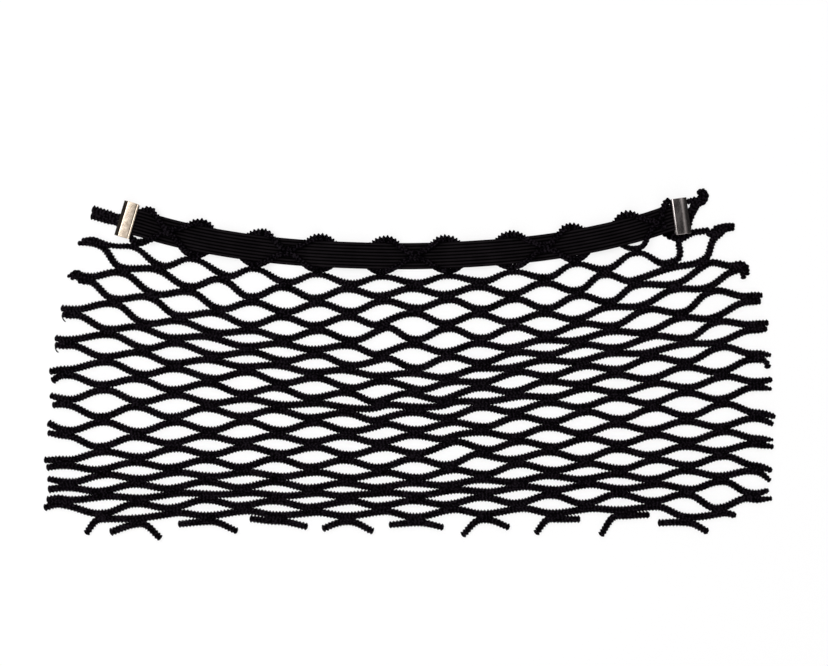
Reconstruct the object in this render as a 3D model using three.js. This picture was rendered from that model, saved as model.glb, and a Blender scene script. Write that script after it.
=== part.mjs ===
// Seat back mesh pocket, laid out flat: a knotless knitted net of black cord, cut on three sides, a ribbed
// elastic band woven over and under its top row of joints, and a folded metal sleeve clip on each band end.
// Millimetres. X runs along the band, Y from the cut bottom of the net up to the band, and Z up. The net lies
// on z = 0, and the origin is the middle of the whole piece, on that plane.

import * as THREE from "three";

// ---------------------------------------------------------------- driving dimensions

const CLEAR = 0.35; // gap between pieces that touch
const CROSSING_CLEAR = 0.75; // the same where a cord crosses the band, because both bend there
const CROSSING_SPREAD = 3.2; // how far along the band a crossing cord reaches to either side
const CORD = { width: 3.3, height: 2.4, waist: 2.6, squeezed: 1.1 }; // the waist is at the band
const JOINT = { halfLength: 4.6, halfWidth: 3.1, nearHalfWidth: 2.5, shoulder: 2.0 };
const BAND = { width: 14.5, thickness: 1.2, lift: 3.5, clipLift: 2.65, stepsPerCrossing: 8 };
const CLIP = { width: 8.4, length: 20, height: 4.9, wall: 0.7, foldRadius: 1.6 };
const LAST_ROW = 22;
const LAST_COLUMN = 20;

// The band's centre line is a shallow sagging curve: its lowest point, and how fast it rises to both sides.
const SAG = { x: -6.5, y: 59.8, square: 6.6e-4, fourth: 1.2e-8 };

// The clips: the middle of each, the way the band runs through it, in degrees, and how high it lies. A cord
// stands beside the right clip and lifts it a little.
const CLIP_LEFT = { x: -154.2, y: 79.7, angle: -16.7, lift: 0 };
const CLIP_RIGHT = { x: 149.5, y: 81.6, angle: 7.9, lift: 1.0 };

// The net's joints stand in staggered rows, row 0 on the band and row 22 at the bottom: a joint where the row
// and column add to an even number. Where the rows lie: Y at five of the columns, from the left edge to the right.
const ROWS = [
  { row: 2, c1: 61.1, c5: 46.4, c10: 43.5, c15: 48.8, c19: 64.4 },
  { row: 3, c1: 51.8, c5: 36.4, c10: 37.1, c15: 39.9, c19: 56.7 },
  { row: 4, c1: 43.5, c5: 28.6, c10: 30.5, c15: 31.5, c19: 49.0 },
  { row: 5, c1: 35.0, c5: 20.2, c10: 22.0, c15: 24.4, c19: 41.8 },
  { row: 6, c1: 26.2, c5: 14.9, c10: 12.9, c15: 18.0, c19: 32.1 },
  { row: 7, c1: 18.2, c5: 8.7, c10: 5.2, c15: 12.9, c19: 24.2 },
  { row: 8, c1: 10.5, c5: 3.1, c10: -2.5, c15: 6.7, c19: 17.2 },
  { row: 9, c1: 3.1, c5: -2.5, c10: -7.6, c15: 1.0, c19: 11.2 },
  { row: 10, c1: -5.3, c5: -9.8, c10: -14.1, c15: -5.5, c19: 2.8 },
  { row: 11, c1: -12.3, c5: -17.2, c10: -21.1, c15: -11.6, c19: -5.1 },
  { row: 12, c1: -20.7, c5: -22.8, c10: -24.2, c15: -17.8, c19: -12.1 },
  { row: 13, c1: -29.9, c5: -29.2, c10: -30.5, c15: -24.2, c19: -19.8 },
  { row: 14, c1: -37.2, c5: -37.4, c10: -36.5, c15: -31.7, c19: -28.3 },
  { row: 15, c1: -46.3, c5: -43.5, c10: -42.1, c15: -39.3, c19: -34.5 },
  { row: 16, c1: -53.0, c5: -50.2, c10: -50.0, c15: -45.1, c19: -42.7 },
  { row: 17, c1: -58.9, c5: -57.5, c10: -57.2, c15: -52.6, c19: -48.3 },
  { row: 18, c1: -64.5, c5: -62.7, c10: -63.4, c15: -58.4, c19: -56.3 },
  { row: 19, c1: -70.8, c5: -68.8, c10: -68.0, c15: -63.8, c19: -61.5 },
  { row: 20, c1: -74.7, c5: -72.9, c10: -73.3, c15: -69.9, c19: -70.0 },
  { row: 21, c1: -82.8, c5: -77.8, c10: -78.2, c15: -77.2, c19: -80.0 },
  { row: 22, c1: -86.4, c5: -84.2, c10: -84.5, c15: -81.7, c19: -84.0 },
];

// Where the columns lie: X at seven of the columns. The net is gathered at the band and spreads below it.
const COLUMNS = [
  { row: 1, c0: -170, c1: -151.1, c5: -85.0, c10: 3.0, c15: 91.1, c19: 151.0, c20: 166.0 },
  { row: 3, c0: -176, c1: -158.0, c5: -86.4, c10: 3.0, c15: 92.6, c19: 161.0, c20: 176.0 },
  { row: 6, c0: -185.4, c1: -163.5, c5: -87.6, c10: 3.0, c15: 93.2, c19: 166.0, c20: 187.5 },
  { row: 10, c0: -189.5, c1: -167.5, c5: -90.0, c10: 3.0, c15: 95.0, c19: 171.0, c20: 190.5 },
  { row: 14, c0: -189.0, c1: -169.0, c5: -90.8, c10: 3.3, c15: 96.1, c19: 171.8, c20: 192.0 },
  { row: 21, c0: -191.0, c1: -168.6, c5: -91.3, c10: 3.8, c15: 97.5, c19: 171.0, c20: 189.3 },
];

// Joints that were pulled out of line as the net was laid down, by "row,column": how far each is moved.
const PULLED = {
  "2,0": [1.6, 2.2], "2,2": [0, -3.6], "2,4": [1.4, -1.1], "2,6": [0, -0.7], "2,8": [0, -0.2],
  "2,14": [0, -0.3], "2,16": [-1.3, -0.7], "2,18": [2.3, -5.5], "2,20": [-2.5, 4.1], "3,1": [0.5, 0.2],
  "3,3": [1.1, -1.3], "3,5": [0, -0.4], "3,15": [0, -0.4], "3,17": [-3, -2.2], "3,19": [1.1, -0.4],
  "4,0": [1.3, 0.4], "4,2": [0.3, -1.2], "4,4": [0.3, -1.4], "4,8": [0, -1], "4,10": [0.4, -0.7],
  "4,12": [0, -0.8], "4,14": [0, -0.4], "4,16": [-0.6, -1.2], "4,18": [0, -1.2], "5,3": [-2.1, -0.8],
  "5,5": [0, 0.2], "5,7": [0, 0.7], "5,11": [0, -0.7], "5,15": [0, -0.5], "5,17": [0, -0.6],
  "5,19": [0, -0.4], "6,2": [-2.3, -1.2], "6,4": [-2.4, -0.3], "6,6": [0, -0.6], "6,8": [0.5, -0.5],
  "6,10": [0, -0.3], "6,12": [0, -0.6], "6,14": [0, -0.8], "6,16": [0, -0.8], "6,18": [2.2, -0.9],
  "6,20": [0, 0.7], "7,3": [-2.9, 0.4], "7,7": [0, 0.7], "7,9": [0, -0.3], "7,11": [0, -0.2],
  "7,13": [0, -0.7], "7,15": [0, -0.6], "7,17": [1.8, -1.3], "7,19": [0, 0.4], "8,2": [0, -0.6],
  "8,4": [0, -0.6], "8,6": [0, -0.5], "8,10": [0, -0.6], "8,12": [0, -0.2], "8,14": [0, -0.2],
  "8,16": [0, -1.1], "8,18": [2.5, -1.3], "8,20": [0, 1], "9,3": [-1.8, -0.8], "9,7": [0, -0.3],
  "9,11": [0.5, -1.2], "9,13": [0, 0.7], "9,15": [0, -0.4], "9,17": [0, -0.5], "9,19": [0, -0.2],
  "10,6": [0, -0.3], "10,8": [0.7, -0.5], "10,10": [0.4, -0.5], "10,12": [0, 0.7], "10,16": [-0.3, -0.3],
  "10,18": [0, -0.4], "10,20": [0, -0.3], "11,3": [0, -0.2], "11,9": [-0.3, 0], "11,11": [0, 0.3],
  "11,17": [0, -0.6], "12,2": [0, -0.3], "12,8": [0.5, -0.8], "12,10": [0, -0.4], "12,12": [0, 0.5],
  "12,16": [0, -0.2], "12,18": [0, -0.3], "13,3": [0, -0.6], "13,5": [0, -0.4], "13,7": [0, -0.4],
  "13,9": [-0.5, -0.8], "13,11": [0, -0.5], "13,15": [0, -0.3], "13,17": [0, -0.4], "13,19": [0, -0.3],
  "14,2": [0, -0.8], "14,8": [0.3, -0.6], "14,10": [0, -0.6], "14,12": [0, -0.6], "14,16": [0, -0.3],
  "14,18": [0, -0.3], "14,20": [0, -0.6], "15,3": [0, 0.4], "15,7": [0, -0.9], "15,9": [0, -1.6],
  "15,11": [0, 0.3], "15,15": [0, 0.4], "15,19": [0, -0.8], "16,2": [0, 0.2], "16,8": [0, -0.6],
  "16,12": [0, 0.6], "16,14": [0, -0.3], "16,16": [0, -0.4], "17,3": [0, 0.4], "17,9": [0, -0.2],
  "17,11": [0, 0.3], "17,13": [-0.6, 1.5], "17,15": [0, -0.3], "17,17": [0, -0.3], "17,19": [0, -0.4],
  "18,0": [2.4, -0.9], "18,4": [0, 0.3], "18,12": [0, 0.2], "18,16": [0, -0.8], "18,18": [0, 0.2],
  "18,20": [0, -1.3], "19,3": [0, 0.5], "19,7": [0, -0.5], "19,9": [0, -0.4], "19,15": [0, -0.4],
  "19,17": [0, -1.6], "19,19": [0, -1], "20,2": [0, -0.5], "20,4": [0, 0.6], "20,6": [0, -0.4],
  "20,10": [0, 0.2], "20,12": [0, 0.8], "20,14": [0, 0.4], "20,16": [0, 0.2], "20,18": [0, 0.2],
  "20,20": [-1, -2], "21,1": [0, -0.3], "21,5": [0, -0.9], "21,7": [0, -1.9], "21,9": [0, -0.8],
  "21,15": [0, -0.3], "21,17": [0.2, 2.1], "22,4": [0, 0.2], "22,10": [0, -0.5], "22,12": [-0.4, 0],
  "22,14": [0, -1], "22,16": [-0.3, 1.2], "22,18": [0, -1.7],
};

// A joint is turned a little from the way its cords lead: in degrees, in odd and even columns, and a few by more.
const TURN = { odd: 5, even: -4.5 };
const TURNED = {
  "3,15": -4, "5,9": 14, "7,9": 9, "10,10": -8.5, "11,9": 12, "11,11": 9, "13,9": 9, "15,11": 10,
  "16,12": -8.5, "2,0": 8.5, "2,20": 8.5, "4,0": 10, "6,0": 10, "8,0": 10, "10,0": 8,
};

// Row 0: the joints that the band crosses. It passes under the raised ones and over the others.
const CROSSINGS = [
  { column: 2, x: -132.6, raised: true },
  { column: 4, x: -101.2, raised: false },
  { column: 6, x: -67.1, raised: true },
  { column: 8, x: -31.4, raised: false },
  { column: 10, x: 3.3, raised: true },
  { column: 12, x: 38.0, raised: false },
  { column: 14, x: 74.8, raised: true },
  { column: 16, x: 106.7, raised: false },
  { column: 18, x: 136.4, raised: true },
];

// Between the crossings: the loop that stands out above the band, and the row 1 joint below it with its drop
// from the band's centre line.
const LOOPS = [
  { column: 3, loopX: -115.2, jointX: -116.4, drop: 10.55 },
  { column: 5, loopX: -81.5, jointX: -83.4, drop: 10.15 },
  { column: 7, loopX: -48.4, jointX: -49.6, drop: 10.05 },
  { column: 9, loopX: -13.5, jointX: -14.9, drop: 10.05 },
  { column: 11, loopX: 20.2, jointX: 21.0, drop: 10.05 },
  { column: 13, loopX: 56.4, jointX: 56.1, drop: 10.15 },
  { column: 15, loopX: 89.5, jointX: 89.5, drop: 10.35 },
  { column: 17, loopX: 120.6, jointX: 121.7, drop: 11.55 },
];

// Cut ends: for each joint on a cut edge, where its two cord ends lie, measured from the joint's centre, and
// how wide they are.
// Going round the joint, the first end is the one met first anticlockwise from the inner side.
const CUT_ENDS = [
  { row: 0, column: 0, first: [-6.6, 4.2, 3.2], second: [-7.7, 0.2, 3.2] },
  { row: 2, column: 0, first: [-9.6, 2.2, 2.6], second: [-9.8, -1.3, 2.6] },
  { row: 4, column: 0, first: [-8.4, 2.3, 2.4], second: [-6.7, -1.4, 2.4] },
  { row: 6, column: 0, first: [-6, 2.3, 3.3], second: [-5.3, -1, 3.2] },
  { row: 8, column: 0, first: [-6.5, 2.6, 3.2], second: [-6.5, -1.3, 3.4] },
  { row: 10, column: 0, first: [-7.8, 0.9, 3.6], second: [-6.6, -4, 3.6] },
  { row: 12, column: 0, first: [-8, 3.5, 3.2], second: [-6.7, -2, 3.4] },
  { row: 14, column: 0, first: [-9.5, 4.8, 3.4], second: [-9.7, -0.2, 3.2] },
  { row: 16, column: 0, first: [-10.9, 1.3, 3.2], second: [-9.5, -2.6, 3.4] },
  { row: 18, column: 0, first: [-11.1, 3.4, 3], second: [-10.8, -2, 3.2] },
  { row: 20, column: 0, first: [-8, 1, 3.4], second: [-9.4, -3.4, 3.2] },
  { row: 2, column: 20, first: [10.4, 1.6, 2.6], second: [9.9, 5.1, 2.6] },
  { row: 4, column: 20, first: [3.8, -6.2, 2.6], second: [6.6, 1.6, 2.8] },
  { row: 6, column: 20, first: [5.8, -1.3, 3.4], second: [6.7, 2, 3.2] },
  { row: 8, column: 20, first: [6.4, -0.7, 3], second: [7.8, 2.4, 3.2] },
  { row: 10, column: 20, first: [6.9, -6.1, 2.9], second: [8.4, 0.8, 2] },
  { row: 12, column: 20, first: [7.7, -2.7, 1.8], second: [8, 2.9, 3] },
  { row: 14, column: 20, first: [7.8, -4.1, 3], second: [9.3, -0.3, 3] },
  { row: 16, column: 20, first: [8.8, -2.9, 2.6], second: [8.6, 1, 1.8] },
  { row: 18, column: 20, first: [8, -6.2, 2], second: [8.8, -0.3, 2.8] },
  { row: 20, column: 20, first: [10.7, -1.2, 1.6], second: [8.7, 3.3, 2.4] },
  { row: 22, column: 2, first: [-15, -6.2, 3.4], second: [12, -9.8, 3.4] },
  { row: 22, column: 4, first: [-16.3, -3.2, 3.4], second: [16.2, -7.4, 3.4] },
  { row: 22, column: 6, first: [-15, -0.5, 3.4], second: [16.5, -4.8, 3.4] },
  { row: 22, column: 8, first: [-13.7, -5.7, 3.4], second: [14.3, -7.2, 3.4] },
  { row: 22, column: 10, first: [-15, -2.9, 3.4], second: [15.2, -4.3, 3.4] },
  { row: 22, column: 12, first: [-12.1, -10.5, 3.4], second: [14, -6, 3.4] },
  { row: 22, column: 14, first: [-10, -9.5, 3.4], second: [14.9, -1.1, 3.4] },
  { row: 22, column: 16, first: [-11.2, -13.7, 3.4], second: [16, -2.2, 3.4] },
  { row: 22, column: 18, first: [-15.8, -1.3, 3.4], second: [11.8, -4.5, 3.4] },
];

// ---------------------------------------------------------------- curves

// A smooth curve through a few stations: a cubic between neighbours, straight on past the ends.
function smoothThrough(stations, values, at) {
  const last = stations.length - 1;
  const slope = (i) => {
    const before = Math.max(i - 1, 0);
    const after = Math.min(i + 1, last);
    return (values[after] - values[before]) / (stations[after] - stations[before]);
  };
  if (at <= stations[0]) return values[0] + slope(0) * (at - stations[0]);
  if (at >= stations[last]) return values[last] + slope(last) * (at - stations[last]);
  let i = 0;
  while (at > stations[i + 1]) i += 1;
  const span = stations[i + 1] - stations[i];
  const t = (at - stations[i]) / span;
  const rise = 3 * t * t - 2 * t * t * t;
  return (
    (1 - rise) * values[i] +
    rise * values[i + 1] +
    span * t * (1 - t) * ((1 - t) * slope(i) - t * slope(i + 1))
  );
}

const namedColumns = (table) => Object.keys(table[0]).filter((key) => key !== "row");
const columnNumbers = (table) => namedColumns(table).map((key) => Number(key.slice(1)));
const rowValues = (entry, keys) => keys.map((key) => entry[key]);

function latticeX(row, column) {
  const keys = namedColumns(COLUMNS);
  const numbers = columnNumbers(COLUMNS);
  const across = COLUMNS.map((entry) => smoothThrough(numbers, rowValues(entry, keys), column));
  return smoothThrough(COLUMNS.map((entry) => entry.row), across, row);
}

function latticeY(row, column) {
  const entry = ROWS.find((candidate) => candidate.row === row);
  return smoothThrough(columnNumbers(ROWS), rowValues(entry, namedColumns(ROWS)), column);
}

const bandY = (x) => SAG.y + SAG.square * (x - SAG.x) ** 2 + SAG.fourth * (x - SAG.x) ** 4;
const bandAngle = (x) => Math.atan(2 * SAG.square * (x - SAG.x) + 4 * SAG.fourth * (x - SAG.x) ** 3);

// A point beside the band: at a distance to its upper side from the centre line's point at x.
function besideBand(x, offset) {
  const angle = bandAngle(x);
  return { x: x - Math.sin(angle) * offset, y: bandY(x) + Math.cos(angle) * offset, angle };
}

// A point in a clip's own frame: along the band through the clip, and across it.
function besideClip(clip, along, across, turn = 0) {
  const angle = THREE.MathUtils.degToRad(clip.angle);
  return {
    x: clip.x + Math.cos(angle) * along - Math.sin(angle) * across,
    y: clip.y + Math.sin(angle) * along + Math.cos(angle) * across,
    angle: angle + THREE.MathUtils.degToRad(turn),
  };
}

// The band's underside: low under each raised joint, high over the others, and level in the clips.
const BAND_HEIGHTS = [
  { x: besideClip(CLIP_LEFT, CLIP.width / 2, 0).x, z: BAND.clipLift },
  ...CROSSINGS.map((crossing) => ({ x: crossing.x, z: crossing.raised ? 0 : BAND.lift })),
  { x: besideClip(CLIP_RIGHT, -CLIP.width / 2, 0).x, z: BAND.clipLift + CLIP_RIGHT.lift },
];

function bandUnderside(x) {
  const last = BAND_HEIGHTS.length - 1;
  if (x <= BAND_HEIGHTS[0].x) return BAND_HEIGHTS[0].z;
  if (x >= BAND_HEIGHTS[last].x) return BAND_HEIGHTS[last].z;
  let i = 0;
  while (x > BAND_HEIGHTS[i + 1].x) i += 1;
  const t = (x - BAND_HEIGHTS[i].x) / (BAND_HEIGHTS[i + 1].x - BAND_HEIGHTS[i].x);
  return THREE.MathUtils.lerp(BAND_HEIGHTS[i].z, BAND_HEIGHTS[i + 1].z, (1 - Math.cos(Math.PI * t)) / 2);
}

// The centre line's x of the band's section that passes through a point beside it.
function sectionThrough({ x, y }) {
  let along = x;
  for (let pass = 0; pass < 5; pass += 1) {
    const angle = bandAngle(along);
    const offset = (y - bandY(along)) * Math.cos(angle) - (x - along) * Math.sin(angle);
    along = x + Math.sin(angle) * offset;
  }
  return along;
}

// Heights of a cord that passes under or over the band at a place, clear over the cord's own spread.
const spread = (place) => [-CROSSING_SPREAD, 0, CROSSING_SPREAD].map((step) => sectionThrough(place) + step);

function underBand(place) {
  return { low: 0, high: Math.min(CORD.height, Math.min(...spread(place).map(bandUnderside)) - CROSSING_CLEAR) };
}

function overBand(place) {
  const low = Math.max(...spread(place).map(bandUnderside)) + BAND.thickness + CROSSING_CLEAR;
  return { low, high: low + CORD.height };
}

// ---------------------------------------------------------------- building solids

// A solid collected corner by corner. Faces go anticlockwise seen from outside.
class Solid {
  constructor() {
    this.places = [];
    this.triangles = [];
  }

  corner(x, y, z) {
    this.places.push(x, y, z);
    return this.places.length / 3 - 1;
  }

  face(...corners) {
    for (let i = 1; i < corners.length - 1; i += 1) {
      this.triangles.push(corners[0], corners[i], corners[i + 1]);
    }
  }

  // A four-sided section standing across a cord or band: low right, low left, high left, high right,
  // seen by someone who walks along it.
  section({ x, y, angle, width, low, high }) {
    const side = { x: Math.sin(angle) * (width / 2), y: -Math.cos(angle) * (width / 2) };
    return [
      this.corner(x + side.x, y + side.y, low),
      this.corner(x - side.x, y - side.y, low),
      this.corner(x - side.x, y - side.y, high),
      this.corner(x + side.x, y + side.y, high),
    ];
  }

  // The four long sides between neighbouring sections.
  run(sections) {
    for (let k = 0; k < sections.length - 1; k += 1) {
      for (let i = 0; i < 4; i += 1) {
        const j = (i + 1) % 4;
        this.face(sections[k][j], sections[k + 1][j], sections[k + 1][i], sections[k][i]);
      }
    }
  }

  geometry() {
    const geometry = new THREE.BufferGeometry();
    geometry.setAttribute("position", new THREE.Float32BufferAttribute(this.places, 3));
    geometry.setIndex(this.triangles);
    geometry.computeVertexNormals();
    return geometry;
  }
}

// ---------------------------------------------------------------- the net

const isJoint = (row, column) =>
  (row + column) % 2 === 0 && column >= 0 && column <= LAST_COLUMN &&
  !(row === LAST_ROW && (column === 0 || column === LAST_COLUMN));

// Where a joint lies, before its direction is known.
function jointPlace(row, column) {
  if (row === 0 && column === 0) return besideClip(CLIP_LEFT, -12.9, -1.6);
  if (row === 0 && column === LAST_COLUMN) return besideClip(CLIP_RIGHT, 12.9, 8.6);
  if (row === 0) return besideBand(CROSSINGS.find((crossing) => crossing.column === column).x, 0);
  if (row === 1 && column === 1) return besideClip(CLIP_LEFT, 7.9, -12.4);
  if (row === 1 && column === LAST_COLUMN - 1) return besideClip(CLIP_RIGHT, -2.6, -12.95);
  if (row === 1) {
    const loop = LOOPS.find((candidate) => candidate.column === column);
    return besideBand(loop.jointX, -loop.drop);
  }
  const [pulledX, pulledY] = PULLED[`${row},${column}`] ?? [0, 0];
  return { x: latticeX(row, column) + pulledX, y: latticeY(row, column) + pulledY };
}

// A joint points along the mean of its cords, all taken to run to the right.
function jointAngle(row, column) {
  if (row === 0 && column === 0) return THREE.MathUtils.degToRad(-17);
  if (row === 0 && column === LAST_COLUMN) return THREE.MathUtils.degToRad(68);
  if (row === 0) return bandAngle(jointPlace(row, column).x);
  if (row === 1 && column === LAST_COLUMN - 1) return THREE.MathUtils.degToRad(CLIP_RIGHT.angle + 4);
  const here = jointPlace(row, column);
  const sum = new THREE.Vector2();
  for (const rowStep of [-1, 1]) {
    for (const columnStep of [-1, 1]) {
      if (row + rowStep < 1 || row + rowStep > LAST_ROW || !isJoint(row + rowStep, column + columnStep)) continue;
      const there = jointPlace(row + rowStep, column + columnStep);
      sum.add(new THREE.Vector2(there.x - here.x, there.y - here.y).normalize().multiplyScalar(columnStep));
    }
  }
  const turn = (column % 2 ? TURN.odd : TURN.even) + (TURNED[`${row},${column}`] ?? 0);
  return Math.atan2(sum.y, sum.x) + (row > 1 && row < LAST_ROW ? THREE.MathUtils.degToRad(turn) : 0);
}

// One joint: two cords knitted side by side, a flat lozenge with a cord at each of its four sides. Its corners
// are right, upper, left and lower. A joint just below the band is twisted: its upper corner is drawn out into
// a low end towards the cord that goes under the band and a high end towards the one that goes over it.
function addJoint(net, row, column) {
  const place = jointPlace(row, column);
  const angle = jointAngle(row, column);
  const at = (along, across) => ({
    x: place.x + Math.cos(angle) * along - Math.sin(angle) * across,
    y: place.y + Math.sin(angle) * along + Math.cos(angle) * across,
  });
  const { halfLength, shoulder } = JOINT;
  const halfWidth = row < 2 ? JOINT.nearHalfWidth : JOINT.halfWidth;
  const corners = { right: at(halfLength, 0), left: at(-halfLength, 0), lower: at(0, -halfWidth) };
  const crossing = CROSSINGS.find((candidate) => candidate.column === column);
  if (row === 1) {
    corners.upperRight = at(shoulder, halfWidth);
    corners.upperLeft = at(-shoulder, halfWidth);
    const raisedOnRight = (column + 1) % 4 === 2;
    const over = raisedOnRight ? "upperRight" : "upperLeft";
    const under = raisedOnRight ? "upperLeft" : "upperRight";
    corners[over].low = overBand(corners[over]).low;
    corners[under].high = underBand(corners[under]).high;
    corners[raisedOnRight ? "right" : "left"].low = corners[over].low * 0.5;
  } else {
    corners.upper = at(0, halfWidth);
  }
  if (row === 0 && crossing?.raised) {
    for (const corner of Object.values(corners)) corner.low = overBand(corner).low;
  }
  const order = ["right", "upperRight", "upper", "upperLeft", "left", "lower"].filter((name) => corners[name]);
  const ends = {};
  for (const name of order) {
    const { x, y, low = 0, high = low + CORD.height } = corners[name];
    ends[name] = { low: net.corner(x, y, low), high: net.corner(x, y, high) };
  }
  net.face(...order.map((name) => ends[name].high));
  net.face(...order.map((name) => ends[name].low).reverse());
  if (ends.upperRight) {
    const { upperRight, upperLeft } = ends;
    net.face(upperRight.low, upperLeft.low, upperLeft.high, upperRight.high);
  }
  const side = (from, to) => [ends[from].low, ends[to].low, ends[to].high, ends[from].high];
  return {
    place,
    angle,
    sides: {
      upRight: side("right", ends.upper ? "upper" : "upperRight"),
      upLeft: side(ends.upper ? "upper" : "upperLeft", "left"),
      downLeft: side("left", "lower"),
      downRight: side("lower", "right"),
    },
  };
}

// A cord arrives at a joint's side facing it, so that side is taken the other way round.
const facing = ([lowFrom, lowTo, highTo, highFrom]) => [lowTo, lowFrom, highFrom, highTo];

// A cord from one joint's side to another's, through stations between them.
function addCord(net, fromSide, stations, toSide) {
  net.run([fromSide, ...stations.map((station) => net.section(station)), facing(toSide)]);
}

// A cord end that was cut: it runs from a joint's side to its cut face.
function addCutEnd(net, joint, sideName, tip) {
  const end = net.section({
    x: joint.place.x + tip[0],
    y: joint.place.y + tip[1],
    angle: Math.atan2(tip[1], tip[0]),
    width: tip[2],
    low: 0,
    high: CORD.height * 0.9,
  });
  net.run([joint.sides[sideName], end]);
  net.face(...end);
}

// The station halfway along a plain cord between two joints.
function middleStation(from, to, extra = {}) {
  return {
    x: (from.place.x + to.place.x) / 2,
    y: (from.place.y + to.place.y) / 2,
    angle: Math.atan2(to.place.y - from.place.y, to.place.x - from.place.x),
    width: CORD.width,
    low: 0,
    high: CORD.height,
    ...extra,
  };
}

// The loop between two crossings: up past the band's edge from one joint, and back down to the next.
function addLoop(net, from, to, loop) {
  const raisedFrom = from.crossing.raised;
  const station = (start, share, offset, lean, height) => {
    const x = THREE.MathUtils.lerp(start.x, loop.loopX, share);
    const beside = besideBand(x, offset);
    return { ...beside, angle: beside.angle + lean, width: CORD.waist, ...height(beside) };
  };
  const leaving = raisedFrom ? overBand : underBand;
  const arriving = raisedFrom ? underBand : overBand;
  addCord(
    net,
    from.joint.sides.upRight,
    [
      station(from.crossing, 0.55, 6.0, 0.55, leaving),
      station(from.crossing, 0.82, 9.5, 0.35, leaving),
      station(to.crossing, 0.82, 9.5, -0.35, arriving),
      station(to.crossing, 0.55, 6.0, -0.55, arriving),
    ],
    to.joint.sides.upLeft,
  );
}

// Inside a clip the cords are squeezed flat under the band.
const inClip = { width: 2.2, low: CLIP.wall + CLEAR, high: CLIP.wall + CLEAR + CORD.squeezed };
const inLiftedClip = { width: 2.2, low: inClip.low + CLIP_RIGHT.lift, high: inClip.high + CLIP_RIGHT.lift };

// The cords at the left clip: both run through it from the stub on its left.
function addLeftClipCords(net, joints) {
  const at = (along, across, turn) => besideClip(CLIP_LEFT, along, across, turn);
  const nearRaised = at(12.3, 9.2, -10);
  const overEdge = at(15.4, 6.2, -35);
  addCord(
    net,
    joints["0,0"].sides.upRight,
    [
      { ...at(-5.5, 0.6, 22), ...inClip },
      { ...at(0, 3.4, 28), ...inClip },
      { ...at(5.2, 6.4, 34), ...inClip },
      { ...at(7.3, 9.2, 34), width: 2.2, low: 0.4, high: 1.9 },
      { ...at(9.6, 10.1, 6), width: 2.4, low: 1.4, high: 3.6 },
      { ...nearRaised, width: CORD.waist, ...overBand(nearRaised) },
      { ...overEdge, width: CORD.waist, ...overBand(overEdge) },
    ],
    joints["0,2"].sides.upLeft,
  );
  addCord(
    net,
    joints["0,0"].sides.downRight,
    [
      { ...at(-5.5, -3.4, -16), ...inClip },
      { ...at(0, -4.8, -20), ...inClip },
      { ...at(5.0, -6.2, -40), ...inClip },
      { ...at(6.6, -8.6, -78), width: 2.2, low: 0, high: 2.0 },
    ],
    joints["1,1"].sides.upLeft,
  );
}

// The cords at the right clip: one runs through it, the other stands up beside its outer mouth.
function addRightClipCords(net, joints) {
  const at = (along, across, turn) => besideClip(CLIP_RIGHT, along, across, turn);
  const overEdge = at(-10.9, 6.2, 48);
  const loopStart = at(-8.6, 10.2, 34);
  addCord(
    net,
    joints["0,18"].sides.upRight,
    [
      { ...overEdge, width: CORD.waist, ...overBand(overEdge) },
      { ...loopStart, width: CORD.waist, ...overBand(loopStart) },
      { ...at(-6.6, 9.9, -46), width: 2.2, low: 0.8, high: 2.2 },
      { ...at(-4.9, 7.9, -38), ...inLiftedClip, width: 2.0 },
      { ...at(-3.0, 7.3, -8), ...inLiftedClip },
      { ...at(5.3, 7.4, 4), ...inLiftedClip },
    ],
    joints["0,20"].sides.upLeft,
  );
  addCord(
    net,
    joints["1,19"].sides.upRight,
    [
      { ...at(4.4, -11.5, 12), width: 2.2, low: 0, high: CORD.height },
      { ...at(6.9, -8.9, 74), width: 2.4, low: 0, high: CORD.height },
      { ...at(6.2, -3.5, 92), width: 2.6, low: 0, high: CORD.height },
      { ...at(7.0, 0.4, 76), width: 3.0, low: 0, high: CORD.height },
      { ...at(8.3, 3.0, 58), width: 3.6, low: 0, high: CORD.height },
    ],
    joints["0,20"].sides.downLeft,
  );
}

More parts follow.
